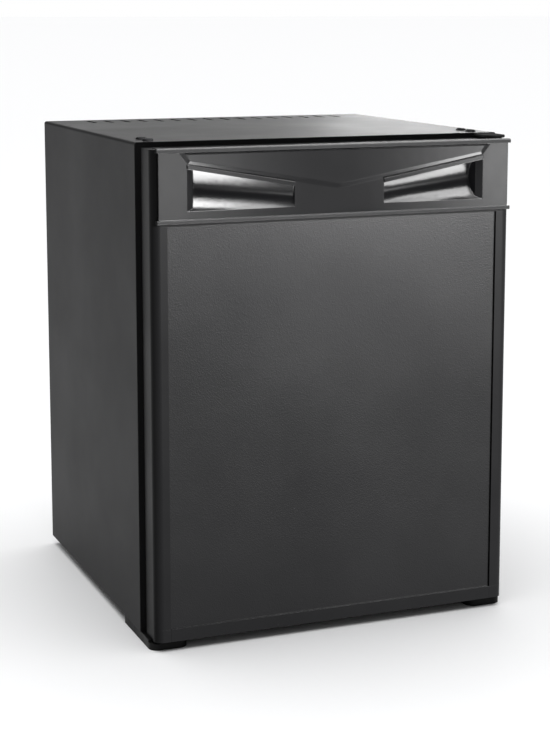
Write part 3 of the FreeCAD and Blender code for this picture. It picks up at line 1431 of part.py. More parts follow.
def foot_screws():
    screws = []
    for place_x, place_y in foot_screw_places():
        low = size.foot_screw_deep
        step = low + size.foot_screw_height
        outline = [(0, low), (size.foot_screw_head, low), (size.foot_screw_head, step)]
        outline += [(size.screw_radius, step), (size.screw_radius, pan_top), (0, pan_top)]
        screws.append(turned("foot_screw", (place_x, place_y), outline))
    keep(group("foot_screws", screws), "foot_screws")


def boiler():
    """Boiler tube and heater in their wool, inside a sheet cover held by a strap."""
    gap = size.fit_gap
    skin = size.boiler_sheet
    radius = size.boiler_radius
    tube_hole = size.boiler_tube_radius + gap
    pipe_hole = size.solution_radius + gap
    middle = (boiler_x, unit_y)
    cover = [(pipe_hole, boiler_low), (radius, boiler_low), (radius, boiler_high), (tube_hole, boiler_high)]
    cover += [(tube_hole, boiler_high - skin), (radius - skin, boiler_high - skin)]
    cover += [(radius - skin, boiler_low + skin), (pipe_hole, boiler_low + skin)]
    keep(turned("boiler_cover", middle, cover), "boiler_cover")

    tube_low = boiler_low + size.boiler_tube_out
    tube_high = boiler_high + size.boiler_tube_out
    tube_place = (boiler_x, unit_y, tube_low)
    tube = rod("boiler_tube", size.boiler_tube_radius, "z", tube_place, tube_high - tube_low)
    keep(tube, "boiler_tube")
    heater_x = boiler_x - size.boiler_tube_radius - size.heater_radius - gap
    heater_low = boiler_low + size.heater_rise
    heater_place = (heater_x, unit_y, heater_low)
    heater = rod("heater_cartridge", size.heater_radius, "z", heater_place, size.heater_height)
    keep(heater, "heater_cartridge")
    wool_place = (boiler_x, unit_y, boiler_low + skin)
    wool_height = boiler_high - boiler_low - skin * 2
    wool = rod("wool_block", radius - skin - gap, "z", wool_place, wool_height)
    tube_void = rod("tube_void", tube_hole, "z", wool_place, wool_height)
    heater_void = rod("heater_void", size.heater_radius + gap / 2, "z", heater_place, size.heater_height)
    keep(cut("boiler_wool", wool, tube_void, heater_void), "boiler_wool")

    strap_low = boiler_low + size.strap_rise
    strap_radius = radius + gap
    strap_outer = strap_radius + size.strap_sheet
    band = rod("strap_band", strap_outer, "z", (boiler_x, unit_y, strap_low), size.strap_height)
    tab_half = size.strap_height / 2
    tab_x = (boiler_x - tab_half, boiler_x + tab_half)
    tab = block("strap_tab", tab_x, (skin_back, unit_y), (strap_low, strap_low + size.strap_height))
    void = rod("strap_void", strap_radius, "z", (boiler_x, unit_y, strap_low), size.strap_height)
    keep(cut("boiler_strap", join("strap_blank", band, tab), void), "boiler_strap")


def condenser():
    """The pipe from the boiler's top to the evaporator, through a row of square fins."""
    points = [
        (boiler_x, unit_y, boiler_high + size.boiler_tube_out),
        (boiler_x, unit_y, condenser_z),
        (-leg, unit_y, condenser_z),
        (-leg, unit_y, evap_tube_z + size.evap_tube_bend * 2),
    ]
    keep(pipe("condenser_tube", points, size.pipe_radius, [size.condenser_bend] * 2), "condenser_tube")
    count = round(size.condenser_fins.value)
    pitch = (boiler_x + leg) / size.condenser_share
    span = pitch * (count - 1)
    first = (boiler_x - leg - span) / 2
    reach = size.condenser_fin / 2
    hole = size.pipe_radius + size.fit_gap / 2
    fin_y = (unit_y - reach, unit_y + reach)
    fin_z = (condenser_z - reach, condenser_z + reach)
    fins = []
    for index in range(count):
        left = first + pitch * index
        fin = block("fin_sheet", (left, left + size.condenser_sheet), fin_y, fin_z)
        bore = rod("fin_bore", hole, "x", (left, unit_y, condenser_z), size.condenser_sheet)
        fins.append(cut("condenser_fin", fin, bore))
    keep(group("condenser_fins", fins), "condenser_fins")


def absorber():
    """Gas heat exchanger, absorber coil on its rails, vessel on its saddles and solution pipe."""
    gap = size.fit_gap
    radius = size.pipe_radius
    shell_height = exchanger_high - exchanger_low
    upright = rod("exchanger_shell", size.exchanger_radius, "z", (leg, unit_y, exchanger_low), shell_height)
    tail = rod("exchanger_tail", radius, "z", (leg, unit_y, stub_top), exchanger_low - stub_top)
    stub_x = leg - size.exchanger_radius - size.stub_reach
    stub = rod("exchanger_stub", radius, "x", (stub_x, unit_y, coil_high), leg - stub_x)
    keep(join("gas_exchanger", upright, tail, stub), "gas_exchanger")

    points = [(coil_foot_x, unit_y, stub_top), (coil_foot_x, unit_y, coil_low)]
    bends = [size.coil_foot_bend]
    for index in range(coil_runs - 1):
        end_x = coil_right + coil_bend if index % 2 == 0 else coil_left - coil_bend
        level = coil_low + coil_pitch * index
        points += [(end_x, unit_y, level), (end_x, unit_y, level + coil_pitch)]
        bends += [coil_bend, coil_bend]
    points.append((stub_x, unit_y, coil_high))
    keep(pipe("absorber_coil", points, radius, bends), "absorber_coil")

    rails = []
    web_rear = unit_y - radius - gap / 2
    foot_rear = skin_back + size.rail_sheet
    rail_low = coil_low - size.rail_width
    rail_length = coil_high - coil_low + size.rail_width * 2
    for side, start in ((1, coil_left + size.rail_shift), (-1, coil_right - size.rail_shift)):
        web = start + size.rail_sheet * side
        foot = start + size.rail_width * side
        angle = [(start, skin_back), (foot, skin_back), (foot, foot_rear), (web, foot_rear)]
        angle += [(web, web_rear), (start, web_rear)]
        rail = new_body("coil_rail")
        add_pad(rail, "rail_angle", "XY", [angle], rail_low, rail_length)
        rails.append(rail)
    keep(group("coil_rails", rails), "coil_rails")

    body = new_body("vessel_shell")
    middle = (unit_y, vessel_z)
    vessel_length = vessel_right - vessel_left
    drum = add_round(body, "vessel_drum", "YZ", middle, size.vessel_radius, vessel_left, vessel_length)
    ends = [f"Edge{number}" for number, edge in enumerate(drum.Shape.Edges, start=1) if edge.isClosed()]
    domes = body.newObject("PartDesign::Fillet", "vessel_domes")
    domes.Base = (drum, ends)
    bind(domes, "Radius", size.vessel_dome)
    settle(domes)
    stubs = []
    for across in (coil_foot_x, leg):
        stubs.append(rod("vessel_stub", radius + gap, "z", (across, unit_y, vessel_z), stub_top - vessel_z))
    nozzle_root = vessel_right - size.vessel_dome
    nozzle_x = vessel_right + size.stub_reach
    nozzle = (nozzle_root, unit_y, vessel_z)
    stubs.append(rod("vessel_nozzle", size.solution_radius + gap, "x", nozzle, nozzle_x - nozzle_root))
    keep(join("absorber_vessel", body, *stubs), "absorber_vessel")

    saddles = []
    span = size.saddle_width / 2
    hollow = size.vessel_radius + gap / 2
    for start in (vessel_left + size.saddle_shift, vessel_right - size.saddle_shift - size.saddle_sheet):
        sheet_x = (start, start + size.saddle_sheet)
        plate = block("saddle_plate", sheet_x, (unit_y - span, unit_y + span), (pan_top, vessel_z))
        seat = rod("saddle_seat", hollow, "x", (start, unit_y, vessel_z), size.saddle_sheet)
        saddles.append(cut("vessel_saddle", plate, seat))
    keep(group("vessel_saddles", saddles), "vessel_saddles")

    boiler_foot = boiler_low + size.boiler_tube_out
    points = [(nozzle_x, unit_y, vessel_z), (boiler_x, unit_y, vessel_z), (boiler_x, unit_y, boiler_foot)]
    keep(pipe("solution_pipe", points, size.solution_radius, [size.solution_bend]), "solution_pipe")


def electrics():
    """Control box on the base pan, its power inlet at the rear and the lead up to the heater."""
    wall = size.box_wall
    shell = block("box_outside", (box_left, box_right), (box_front, box_rear), (pan_top, box_top))
    corners = ("z", {"x": (box_left, box_right), "y": (box_front, box_rear)})
    shell = round_edges("box_rounded", shell, wall, corners)
    void_x = (box_left + wall, box_right - wall)
    void_y = (box_front + wall, box_rear - wall)
    void = block("box_void", void_x, void_y, (pan_top + wall, box_top - wall))
    inlet_x = (box_left + box_right) / 2
    inlet_z = (pan_top + box_top) / 2
    reach = size.inlet_width / 2
    tall = size.inlet_height / 2
    body_reach = reach - size.inlet_body
    body_tall = tall - size.inlet_body
    clear = size.fit_gap
    hole_x = (inlet_x - body_reach - clear, inlet_x + body_reach + clear)
    hole_z = (inlet_z - body_tall - clear, inlet_z + body_tall + clear)
    window = block("inlet_window", hole_x, (box_rear - wall, box_rear), hole_z)
    keep(cut("control_box", shell, void, window), "control_box")

    inlet = new_body("power_inlet")
    flange = [rectangle((inlet_x - reach, inlet_x + reach), (inlet_z - tall, inlet_z + tall))]
    add_pad(inlet, "inlet_flange", "XZ", flange, box_rear, size.inlet_flange)
    add_fillet(inlet, "inlet_corners", size.inlet_body, ("y", {"x": (inlet_x - reach, inlet_x + reach)}))
    core_x = (inlet_x - body_reach, inlet_x + body_reach)
    core_z = (inlet_z - body_tall, inlet_z + body_tall)
    inlet_front = box_rear - size.inlet_deep
    add_pad(inlet, "inlet_core", "XZ", [rectangle(core_x, core_z)], inlet_front, size.inlet_deep)
    hollow_x = body_reach - size.inlet_wall
    hollow_z = body_tall - size.inlet_wall
    hollow = [rectangle((inlet_x - hollow_x, inlet_x + hollow_x), (inlet_z - hollow_z, inlet_z + hollow_z))]
    hollow_y = inlet_front + size.inlet_wall
    add_pocket(inlet, "inlet_hollow", "XZ", hollow, hollow_y, size.inlet_deep + size.inlet_flange)
    wide = size.blade_sheet / 2
    high = size.blade_width / 2
    blades = []
    for step, rise in ((-1, 0), (0, 1), (1, 0)):
        across = inlet_x + size.blade_pitch * step
        up = inlet_z - size.blade_stagger / 2 + size.blade_stagger * rise
        blades.append(rectangle((across - wide, across + wide), (up - high, up + high)))
    blade_root = hollow_y - size.inlet_wall / 2
    add_pad(inlet, "inlet_blades", "XZ", blades, blade_root, size.inlet_deep - size.inlet_wall)
    keep(inlet, "power_inlet")

    lead_place = (boiler_x + size.lead_shift, unit_y, box_top)
    keep(rod("heater_lead", size.lead_radius, "z", lead_place, boiler_low - box_top), "heater_lead")


def write_parts():
    """Check the whole document, then write each sub-part to its own file."""
    doc.recompute()
    for item in doc.Objects:
        if "Invalid" in item.State or "Error" in item.State:
            raise ValueError(f"{item.Name} is {item.State}")
    for item in sub_parts:
        if item.Shape.isNull() or not item.Shape.isValid() or not item.Shape.Solids:
            raise ValueError(f"{item.Label} has no sound shape")
    os.makedirs("parts", exist_ok=True)
    for item in sub_parts:
        item.Shape.exportStep(f"parts/{item.Label}.step")
        print(f"{item.Label}: {len(item.Shape.Solids)} solids, {item.Shape.Volume / 1000:.1f} cm3")


case_wrap()
base_pan()
insulated_walls()
wire_shelf("lower_shelf", lower_rib)
wire_shelf("upper_shelf", upper_rib)
evaporator()
drip_tray()
lamp_and_thermostat()
side_profile("side_profile_left", -1)
side_profile("side_profile_right", 1)
bottom_cap("bottom_cap_left", -1)
bottom_cap("bottom_cap_right", 1)
bottom_strip()
top_cap()
handle_fascia()
door_panel()
door_inside()
gasket()
door_rack("lower_door_rack", lower_rack_low, size.lower_rack_height)
door_rack("upper_door_rack", upper_rack_low, size.upper_rack_height)
hinge()
front_foot("front_foot_left", -1)
front_foot("front_foot_right", 1)
rear_foot("rear_foot_left", -1)
rear_foot("rear_foot_right", 1)
foot_screws()
boiler()
condenser()
absorber()
electrics()
write_parts()
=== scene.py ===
import bpy
import json
import math
from mathutils import Matrix, Vector


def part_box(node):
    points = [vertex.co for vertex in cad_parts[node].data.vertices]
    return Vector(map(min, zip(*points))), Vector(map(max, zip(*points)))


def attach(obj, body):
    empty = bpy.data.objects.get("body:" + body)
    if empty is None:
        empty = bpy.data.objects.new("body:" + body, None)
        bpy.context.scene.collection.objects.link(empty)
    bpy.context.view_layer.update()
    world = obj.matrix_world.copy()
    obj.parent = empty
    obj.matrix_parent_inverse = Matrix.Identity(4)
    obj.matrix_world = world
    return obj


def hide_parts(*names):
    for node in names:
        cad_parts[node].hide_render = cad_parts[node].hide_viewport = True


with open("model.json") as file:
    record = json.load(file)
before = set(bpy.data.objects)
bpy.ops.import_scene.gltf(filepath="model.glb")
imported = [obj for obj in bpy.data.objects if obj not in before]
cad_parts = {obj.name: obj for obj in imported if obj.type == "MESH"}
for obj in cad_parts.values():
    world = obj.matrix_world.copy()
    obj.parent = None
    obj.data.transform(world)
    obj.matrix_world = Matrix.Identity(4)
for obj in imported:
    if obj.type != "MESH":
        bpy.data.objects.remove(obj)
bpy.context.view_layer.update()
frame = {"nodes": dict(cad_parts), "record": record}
nodes = frame["nodes"]
print("frame loaded:", len(nodes), "nodes")

# a zone is dull outside two limits on one axis: the case's front flange, the handle's lips
dullEdges = {"flange": 0.0015, "lip": 0.0042, "noLimit": 1.0}
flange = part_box("case_wrap")[0].y + dullEdges["flange"]
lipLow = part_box("handle_fascia")[0].z + dullEdges["lip"]
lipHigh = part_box("handle_fascia")[1].z - dullEdges["lip"]

# every look: colour pair, roughness range, then the pattern that gives it its relief
# lengths are in metres, scales are features per metre
looks = {
    "casePaint": {"slot": "case_paint", "dark": (0.0052, 0.0052, 0.0055), "light": (0.0068, 0.0068, 0.0071),
                  "patch": 3.0, "rough": (0.44, 0.50), "smear": 9.0, "shine": 0.07,
                  "zone": ("Y", flange, dullEdges["noLimit"], 0.85),
                  "relief": "peel", "scale": 1400.0, "depth": 0.00003, "edge": 0.0012},
    "hingePaint": {"slot": "hinge_paint", "dark": (0.006, 0.006, 0.006), "light": (0.010, 0.010, 0.010),
                   "patch": 40.0, "rough": (0.48, 0.60), "smear": 60.0, "shine": 0.12,
                   "relief": "peel", "scale": 1800.0, "depth": 0.00003, "edge": 0.0005},
    "doorSkin": {"slot": "door_skin", "dark": (0.0018, 0.0018, 0.0020), "light": (0.0027, 0.0027, 0.0029),
                 "patch": 3.0, "rough": (0.30, 0.36), "smear": 7.0, "shine": 0.14,
                 "relief": "pebble", "scale": 900.0, "depth": 0.00008, "edge": 0.0006},
    "framePlastic": {"slot": "frame_plastic", "dark": (0.0026, 0.0026, 0.0028),
                     "light": (0.0038, 0.0038, 0.0040),
                     "patch": 8.0, "rough": (0.32, 0.38), "smear": 14.0, "shine": 0.06,
                     "relief": "peel", "scale": 2200.0, "depth": 0.00002, "edge": 0.0003},
    "handleGloss": {"slot": "handle_gloss", "dark": (0.0006, 0.0006, 0.0007),
                    "light": (0.0011, 0.0011, 0.0012),
                    "patch": 12.0, "rough": (0.18, 0.21), "smear": 20.0, "shine": 0.12,
                    "zone": ("Z", lipLow, lipHigh, 0.70),
                    "relief": "peel", "scale": 90.0, "depth": 0.00004, "edge": 0.0009},
    "linerPlastic": {"slot": "liner_plastic", "dark": (0.62, 0.63, 0.63), "light": (0.70, 0.71, 0.71),
                     "patch": 5.0, "rough": (0.28, 0.40), "smear": 11.0,
                     "relief": "peel", "scale": 500.0, "depth": 0.00003, "edge": 0.0015},
    "rigidFoam": {"slot": "foam", "dark": (0.030, 0.028, 0.025), "light": (0.050, 0.047, 0.042),
                  "patch": 60.0, "rough": (0.85, 0.95), "smear": 90.0,
                  "relief": "pebble", "scale": 700.0, "depth": 0.0004, "edge": 0.0},
    "sealRubber": {"slot": "seal_rubber", "dark": (0.016, 0.016, 0.017), "light": (0.024, 0.024, 0.025),
                   "patch": 25.0, "rough": (0.55, 0.70), "smear": 40.0,
                   "relief": "peel", "scale": 2500.0, "depth": 0.00003, "edge": 0.0004},
    "magnetStrip": {"slot": "magnet_strip", "dark": (0.05, 0.032, 0.024), "light": (0.075, 0.05, 0.036),
                    "patch": 40.0, "rough": (0.6, 0.75), "smear": 60.0,
                    "relief": "peel", "scale": 2500.0, "depth": 0.00003, "edge": 0.0},
    "pinSteel": {"slot": "pin_steel", "dark": (0.42, 0.42, 0.41), "light": (0.58, 0.58, 0.57),
                 "metal": 1.0, "patch": 90.0, "rough": (0.22, 0.38), "smear": 150.0,
                 "relief": "turned", "scale": 2600.0, "depth": 0.00002, "edge": 0.0004},
    "bushPlastic": {"slot": "bush_plastic", "dark": (0.018, 0.018, 0.018), "light": (0.028, 0.028, 0.028),
                    "patch": 60.0, "rough": (0.45, 0.6), "smear": 80.0,
                    "relief": "peel", "scale": 2600.0, "depth": 0.00002, "edge": 0.0004},
    "plugPlastic": {"slot": "plug_plastic", "dark": (0.005, 0.005, 0.0055), "light": (0.008, 0.008, 0.0085),
                    "patch": 60.0, "rough": (0.55, 0.70), "smear": 90.0, "shine": 0.1,
                    "relief": "peel", "scale": 2600.0, "depth": 0.00002, "edge": 0.0006},
    "footPlastic": {"slot": "foot_plastic", "dark": (0.004, 0.004, 0.004), "light": (0.007, 0.007, 0.007),
                    "patch": 30.0, "rough": (0.45, 0.60), "smear": 50.0, "shine": 0.12,
                    "relief": "pebble", "scale": 1600.0, "depth": 0.00006, "edge": 0.0010},
    "shelfCoat": {"slot": "shelf_coat", "dark": (0.70, 0.71, 0.71), "light": (0.80, 0.81, 0.81),
                  "patch": 30.0, "rough": (0.25, 0.38), "smear": 60.0,
                  "relief": "peel", "scale": 700.0, "depth": 0.00005, "edge": 0.0},
    "coldAluminium": {"slot": "cold_aluminium", "dark": (0.60, 0.61, 0.62), "light": (0.72, 0.73, 0.74),
                      "metal": 1.0, "patch": 30.0, "rough": (0.30, 0.45), "smear": 60.0,
                      "relief": "drawn", "scale": 900.0, "depth": 0.00003, "edge": 0.0004},
    "finAluminium": {"slot": "fin_aluminium", "dark": (0.24, 0.245, 0.25), "light": (0.34, 0.345, 0.35),
                     "metal": 1.0, "patch": 50.0, "rough": (0.42, 0.58), "smear": 80.0,
                     "relief": "drawn", "scale": 700.0, "depth": 0.00003, "edge": 0.0},
    "trayPlastic": {"slot": "tray_plastic", "dark": (0.62, 0.68, 0.71), "light": (0.70, 0.76, 0.79),
                    "clear": 0.45, "patch": 12.0, "rough": (0.22, 0.34), "smear": 30.0,
                    "relief": "peel", "scale": 600.0, "depth": 0.00003, "edge": 0.0006},
    "lampPlastic": {"slot": "lamp_plastic", "dark": (0.66, 0.66, 0.65), "light": (0.74, 0.74, 0.73),
                    "patch": 12.0, "rough": (0.25, 0.38), "smear": 30.0,
                    "relief": "peel", "scale": 800.0, "depth": 0.00003, "edge": 0.0006},
    "lensPlastic": {"slot": "lens_plastic", "dark": (0.84, 0.86, 0.85), "light": (0.92, 0.93, 0.92),
                    "clear": 0.8, "patch": 20.0, "rough": (0.10, 0.18), "smear": 40.0,
                    "relief": "peel", "scale": 300.0, "depth": 0.00002, "edge": 0.0},
    "knobPlastic": {"slot": "knob_plastic", "dark": (0.022, 0.022, 0.024), "light": (0.034, 0.034, 0.036),
                    "patch": 60.0, "rough": (0.35, 0.48), "smear": 120.0,
                    "relief": "peel", "scale": 2600.0, "depth": 0.00003, "edge": 0.0005},
    "rackPlastic": {"slot": "rack_plastic", "dark": (0.72, 0.78, 0.81), "light": (0.80, 0.86, 0.88),
                    "clear": 0.75, "patch": 10.0, "rough": (0.08, 0.16), "smear": 22.0,
                    "relief": "peel", "scale": 250.0, "depth": 0.00003, "edge": 0.0006},
    "unitPaint": {"slot": "unit_paint", "dark": (0.010, 0.010, 0.011), "light": (0.020, 0.019, 0.019),
                  "patch": 16.0, "rough": (0.32, 0.55), "smear": 26.0,
                  "relief": "peel", "scale": 900.0, "depth": 0.00006, "edge": 0.0},
    "mineralWool": {"slot": "wool", "dark": (0.36, 0.30, 0.17), "light": (0.54, 0.47, 0.29),
                    "patch": 120.0, "rough": (0.9, 1.0), "smear": 160.0,
                    "relief": "pebble", "scale": 900.0, "depth": 0.0008, "edge": 0.0},
    "boxPlastic": {"slot": "box_plastic", "dark": (0.016, 0.016, 0.017), "light": (0.024, 0.024, 0.025),
                   "patch": 20.0, "rough": (0.42, 0.55), "smear": 40.0,
                   "relief": "pebble", "scale": 2000.0, "depth": 0.00005, "edge": 0.0008},
    "leadRubber": {"slot": "lead_rubber", "dark": (0.010, 0.010, 0.010), "light": (0.017, 0.017, 0.017),
                   "patch": 50.0, "rough": (0.5, 0.65), "smear": 80.0,
                   "relief": "peel", "scale": 2500.0, "depth": 0.00003, "edge": 0.0},
    "galvanised": {"slot": "galvanised", "dark": (0.34, 0.35, 0.36), "light": (0.52, 0.54, 0.55),
                   "metal": 1.0, "patch": 45.0, "rough": (0.32, 0.52), "smear": 70.0,
                   "relief": "spangle", "scale": 160.0, "depth": 0.00002, "edge": 0.0005},
}


# edge wear: how far a normal turns before it shows, and how much lighter the worn colour is
wear = {"start": 0.995, "full": 0.8, "most": 0.5, "lift": 1.6, "dust": 0.006}


def join(tree, start, end):
    tree.links.new(start, end)


def newNode(tree, kind, place, **values):
    node = tree.nodes.new(kind)
    node.location = place
    for name, value in values.items():
        node.inputs[name].default_value = value
    return node


def blendColors(tree, place, factor, first, second):
    node = tree.nodes.new("ShaderNodeMix")
    node.data_type = "RGBA"
    node.location = place
    node.inputs["A"].default_value = (*first, 1.0)
    node.inputs["B"].default_value = (*second, 1.0)
    join(tree, factor, node.inputs["Factor"])
    return node


def makeLook(name, look):
    material = bpy.data.materials.new(name)
    material.use_nodes = True
    tree = material.node_tree
    shader = tree.nodes["Principled BSDF"]
    shader.inputs["Metallic"].default_value = look.get("metal", 0.0)
    shader.inputs["Transmission Weight"].default_value = look.get("clear", 0.0)
    shader.inputs["Specular IOR Level"].default_value = look.get("shine", 0.5)
    coords = newNode(tree, "ShaderNodeTexCoord", (-1500, 0)).outputs["Object"]

    # slow drift of colour, faster drift of gloss
    patch = newNode(tree, "ShaderNodeTexNoise", (-1100, 300), Scale=look["patch"], Detail=4.0)
    join(tree, coords, patch.inputs["Vector"])
    color = blendColors(tree, (-500, 300), patch.outputs["Fac"], look["dark"], look["light"])
    smear = newNode(tree, "ShaderNodeTexNoise", (-1100, 0), Scale=look["smear"], Detail=5.0, Roughness=0.6)
    join(tree, coords, smear.inputs["Vector"])
    low, high = look["rough"]
    gloss = newNode(tree, "ShaderNodeMapRange", (-500, 0))
    for socket, value in (("From Min", 0.3), ("From Max", 0.7), ("To Min", low), ("To Max", high)):
        gloss.inputs[socket].default_value = value
    join(tree, smear.outputs["Fac"], gloss.inputs["Value"])
    roughness = gloss.outputs["Result"]
    if "zone" in look:
        axis, lowest, highest, dull = look["zone"]
        axes = newNode(tree, "ShaderNodeSeparateXYZ", (-1100, -150))
        join(tree, coords, axes.inputs["Vector"])
        outside = []
        for operation, limit in (("LESS_THAN", lowest), ("GREATER_THAN", highest)):
            test = tree.nodes.new("ShaderNodeMath")
            test.operation = operation
            test.location = (-800, -100 - 120 * len(outside))
            join(tree, axes.outputs[axis], test.inputs[0])
            test.inputs[1].default_value = limit
            outside.append(test.outputs["Value"])
        either = newNode(tree, "ShaderNodeMath", (-600, -150))
        join(tree, outside[0], either.inputs[0])
        join(tree, outside[1], either.inputs[1])
        matt = newNode(tree, "ShaderNodeMix", (-300, -50))
        join(tree, either.outputs["Value"], matt.inputs["Factor"])
        join(tree, roughness, matt.inputs["A"])
        matt.inputs["B"].default_value = dull
        roughness = matt.outputs["Result"]
    join(tree, roughness, shader.inputs["Roughness"])

    # relief
    stretches = {"drawn": (1.0, 1.0, 0.02), "turned": (0.05, 0.05, 1.0)}
    stretch = stretches.get(look["relief"], (1.0, 1.0, 1.0))
    mapping = newNode(tree, "ShaderNodeMapping", (-1300, -400), Scale=stretch)
    join(tree, coords, mapping.inputs["Vector"])
    if look["relief"] in ("pebble", "spangle"):
        cells = newNode(tree, "ShaderNodeTexVoronoi", (-1100, -400), Scale=look["scale"])
        join(tree, mapping.outputs["Vector"], cells.inputs["Vector"])
        height = cells.outputs["Distance"]
        if look["relief"] == "spangle":
            height = cells.outputs["Color"]
            tone = tree.nodes.new("ShaderNodeMix")
            tone.data_type = "RGBA"
            tone.blend_type = "OVERLAY"
            tone.location = (-250, 300)
            tone.inputs["Factor"].default_value = 0.35
            join(tree, color.outputs["Result"], tone.inputs["A"])
            grey = newNode(tree, "ShaderNodeRGBToBW", (-800, 200))
            join(tree, cells.outputs["Color"], grey.inputs["Color"])
            join(tree, grey.outputs["Val"], tone.inputs["B"])
            color = tone
    else:
        grain = newNode(tree, "ShaderNodeTexNoise", (-1100, -400), Scale=look["scale"], Detail=3.0)
        join(tree, mapping.outputs["Vector"], grain.inputs["Vector"])
        height = grain.outputs["Fac"]
    bump = newNode(tree, "ShaderNodeBump", (-300, -400), Strength=1.0, Distance=look["depth"])
    join(tree, height, bump.inputs["Height"])

    # rounded and slightly worn edges
    if look["edge"] > 0:
        bevel = newNode(tree, "ShaderNodeBevel", (-800, -700), Radius=look["edge"])
        bevel.samples = 6
        join(tree, bevel.outputs["Normal"], bump.inputs["Normal"])
        facing = newNode(tree, "ShaderNodeNewGeometry", (-1100, -900))
        turn = tree.nodes.new("ShaderNodeVectorMath")
        turn.operation = "DOT_PRODUCT"
        turn.location = (-600, -900)
        join(tree, bevel.outputs["Normal"], turn.inputs[0])
        join(tree, facing.outputs["Normal"], turn.inputs[1])
        rub = newNode(tree, "ShaderNodeMapRange", (-400, -900))
        for socket, value in (("From Min", wear["start"]), ("From Max", wear["full"]),
                              ("To Min", 0.0), ("To Max", wear["most"])):
            rub.inputs[socket].default_value = value
        join(tree, turn.outputs["Value"], rub.inputs["Value"])
        worn = tree.nodes.new("ShaderNodeMix")
        worn.data_type = "RGBA"
        worn.location = (-100, 300)
        rubbed = [min(1.0, tint * wear["lift"] + wear["dust"]) for tint in look["light"]]
        worn.inputs["B"].default_value = (*rubbed, 1.0)
        join(tree, rub.outputs["Result"], worn.inputs["Factor"])
        join(tree, color.outputs["Result"], worn.inputs["A"])
        color = worn
    join(tree, bump.outputs["Normal"], shader.inputs["Normal"])
    join(tree, color.outputs["Result"], shader.inputs["Base Color"])
    return material


materials = {}
for lookName, look in looks.items():
    materials[look["slot"]] = makeLook(lookName, look)
for entry in frame["record"]["subparts"]:
    slots = nodes[entry["node"]].data.materials
    slots.clear()
    slots.append(materials[entry["material_slot"]])
print("looks made:", len(materials))


# smoothing angles in degrees, merge distance in metres, least cosine to a wanted direction
meshing = {"softAngle": 40.0, "copyAngle": 30.0, "merge": 0.00001, "facing": 0.9}


def clearSelection():
    if bpy.context.object and bpy.context.object.mode != "OBJECT":
        bpy.ops.object.mode_set(mode="OBJECT")
    bpy.ops.object.select_all(action="DESELECT")


def startPiece(name):
    piece = bpy.context.object
    piece.name = name
    piece.data.name = name
    bpy.ops.object.transform_apply(location=True, rotation=True, scale=True)
    return piece


def pickFaces(piece, test):
    bpy.ops.object.mode_set(mode="OBJECT")
    for kind in (piece.data.vertices, piece.data.edges, piece.data.polygons):
        for item in kind:
            item.select = False
    for face in piece.data.polygons:
        face.select = test(face)
    bpy.ops.object.mode_set(mode="EDIT")
    bpy.ops.mesh.select_mode(type="FACE")


def pushOut(amount):
    bpy.ops.mesh.extrude_region_move(TRANSFORM_OT_translate={"value": amount})


def softenEdges(piece, width, segments):
    clearSelection()
    piece.select_set(True)
    bpy.context.view_layer.objects.active = piece
    bevel = piece.modifiers.new("softEdges", "BEVEL")
    bevel.width = width
    bevel.segments = segments
    bevel.limit_method = "ANGLE"
    bpy.ops.object.modifier_apply(modifier=bevel.name)
    bpy.ops.object.shade_smooth_by_angle(angle=math.radians(meshing["softAngle"]))


def seatPiece(piece, spec):
    piece.data.materials.clear()
    piece.data.materials.append(materials[spec["slot"]])
    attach(piece, spec["body"])
    if "node" in spec:
        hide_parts(spec["node"])


def joinPieces(pieces, name):
    clearSelection()
    for piece in pieces:
        piece.select_set(True)
    bpy.context.view_layer.objects.active = pieces[0]
    bpy.ops.object.join()
    pieces[0].name = name
    pieces[0].data.name = name
    return pieces[0]


# door seal: a foot with a narrow neck, and a soft bead that meets it from the case side
sealSpec = {"name": "doorSeal", "body": "door", "slot": "seal_rubber", "node": "gasket",
            "width": 0.013, "foot": 0.0024, "neckInset": 0.003, "bead": 0.0040, "round": 0.0009,
            "bellows": 0.55}


def sealRing(name, level, away, thick, neck):
    low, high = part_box("gasket")
    middle = (low + high) / 2
    clearSelection()
    bpy.ops.mesh.primitive_plane_add(size=1.0, location=(middle.x, level, middle.z),
                                     rotation=(math.pi / 2, 0.0, 0.0))
    bpy.context.object.scale = (high.x - low.x, high.z - low.z, 1.0)
    piece = startPiece(name)
    bpy.ops.object.mode_set(mode="EDIT")
    bpy.ops.mesh.select_all(action="SELECT")
    bpy.ops.mesh.inset(thickness=sealSpec["width"])
    bpy.ops.mesh.delete(type="FACE")
    bpy.ops.mesh.select_all(action="SELECT")
    pushOut((0.0, thick * away, 0.0))
    bpy.ops.mesh.inset(thickness=sealSpec["neckInset"])
    pushOut((0.0, neck * away, 0.0))
    bpy.ops.mesh.select_all(action="SELECT")
    bpy.ops.mesh.normals_make_consistent(inside=False)
    bpy.ops.object.mode_set(mode="OBJECT")
    softenEdges(piece, sealSpec["round"], 3)
    return piece


sealLow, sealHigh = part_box("gasket")
bellows = (sealHigh.y - sealLow.y - sealSpec["foot"] - sealSpec["bead"]) * sealSpec["bellows"]
sealFoot = sealRing("sealFoot", sealLow.y, 1.0, sealSpec["foot"], bellows)
sealBead = sealRing("sealBead", sealHigh.y, -1.0, sealSpec["bead"], bellows)
seatPiece(joinPieces([sealFoot, sealBead], sealSpec["name"]), sealSpec)
print("seal built")


def copyNode(name, node):
    clearSelection()
    piece = bpy.data.objects.new(name, nodes[node].data.copy())
    bpy.context.scene.collection.objects.link(piece)
    piece.select_set(True)
    bpy.context.view_layer.objects.active = piece
    bpy.ops.object.mode_set(mode="EDIT")
    bpy.ops.mesh.select_all(action="SELECT")
    bpy.ops.mesh.remove_doubles(threshold=meshing["merge"])
    bpy.ops.object.mode_set(mode="OBJECT")
    bpy.ops.object.shade_smooth_by_angle(angle=math.radians(meshing["copyAngle"]))
    return piece


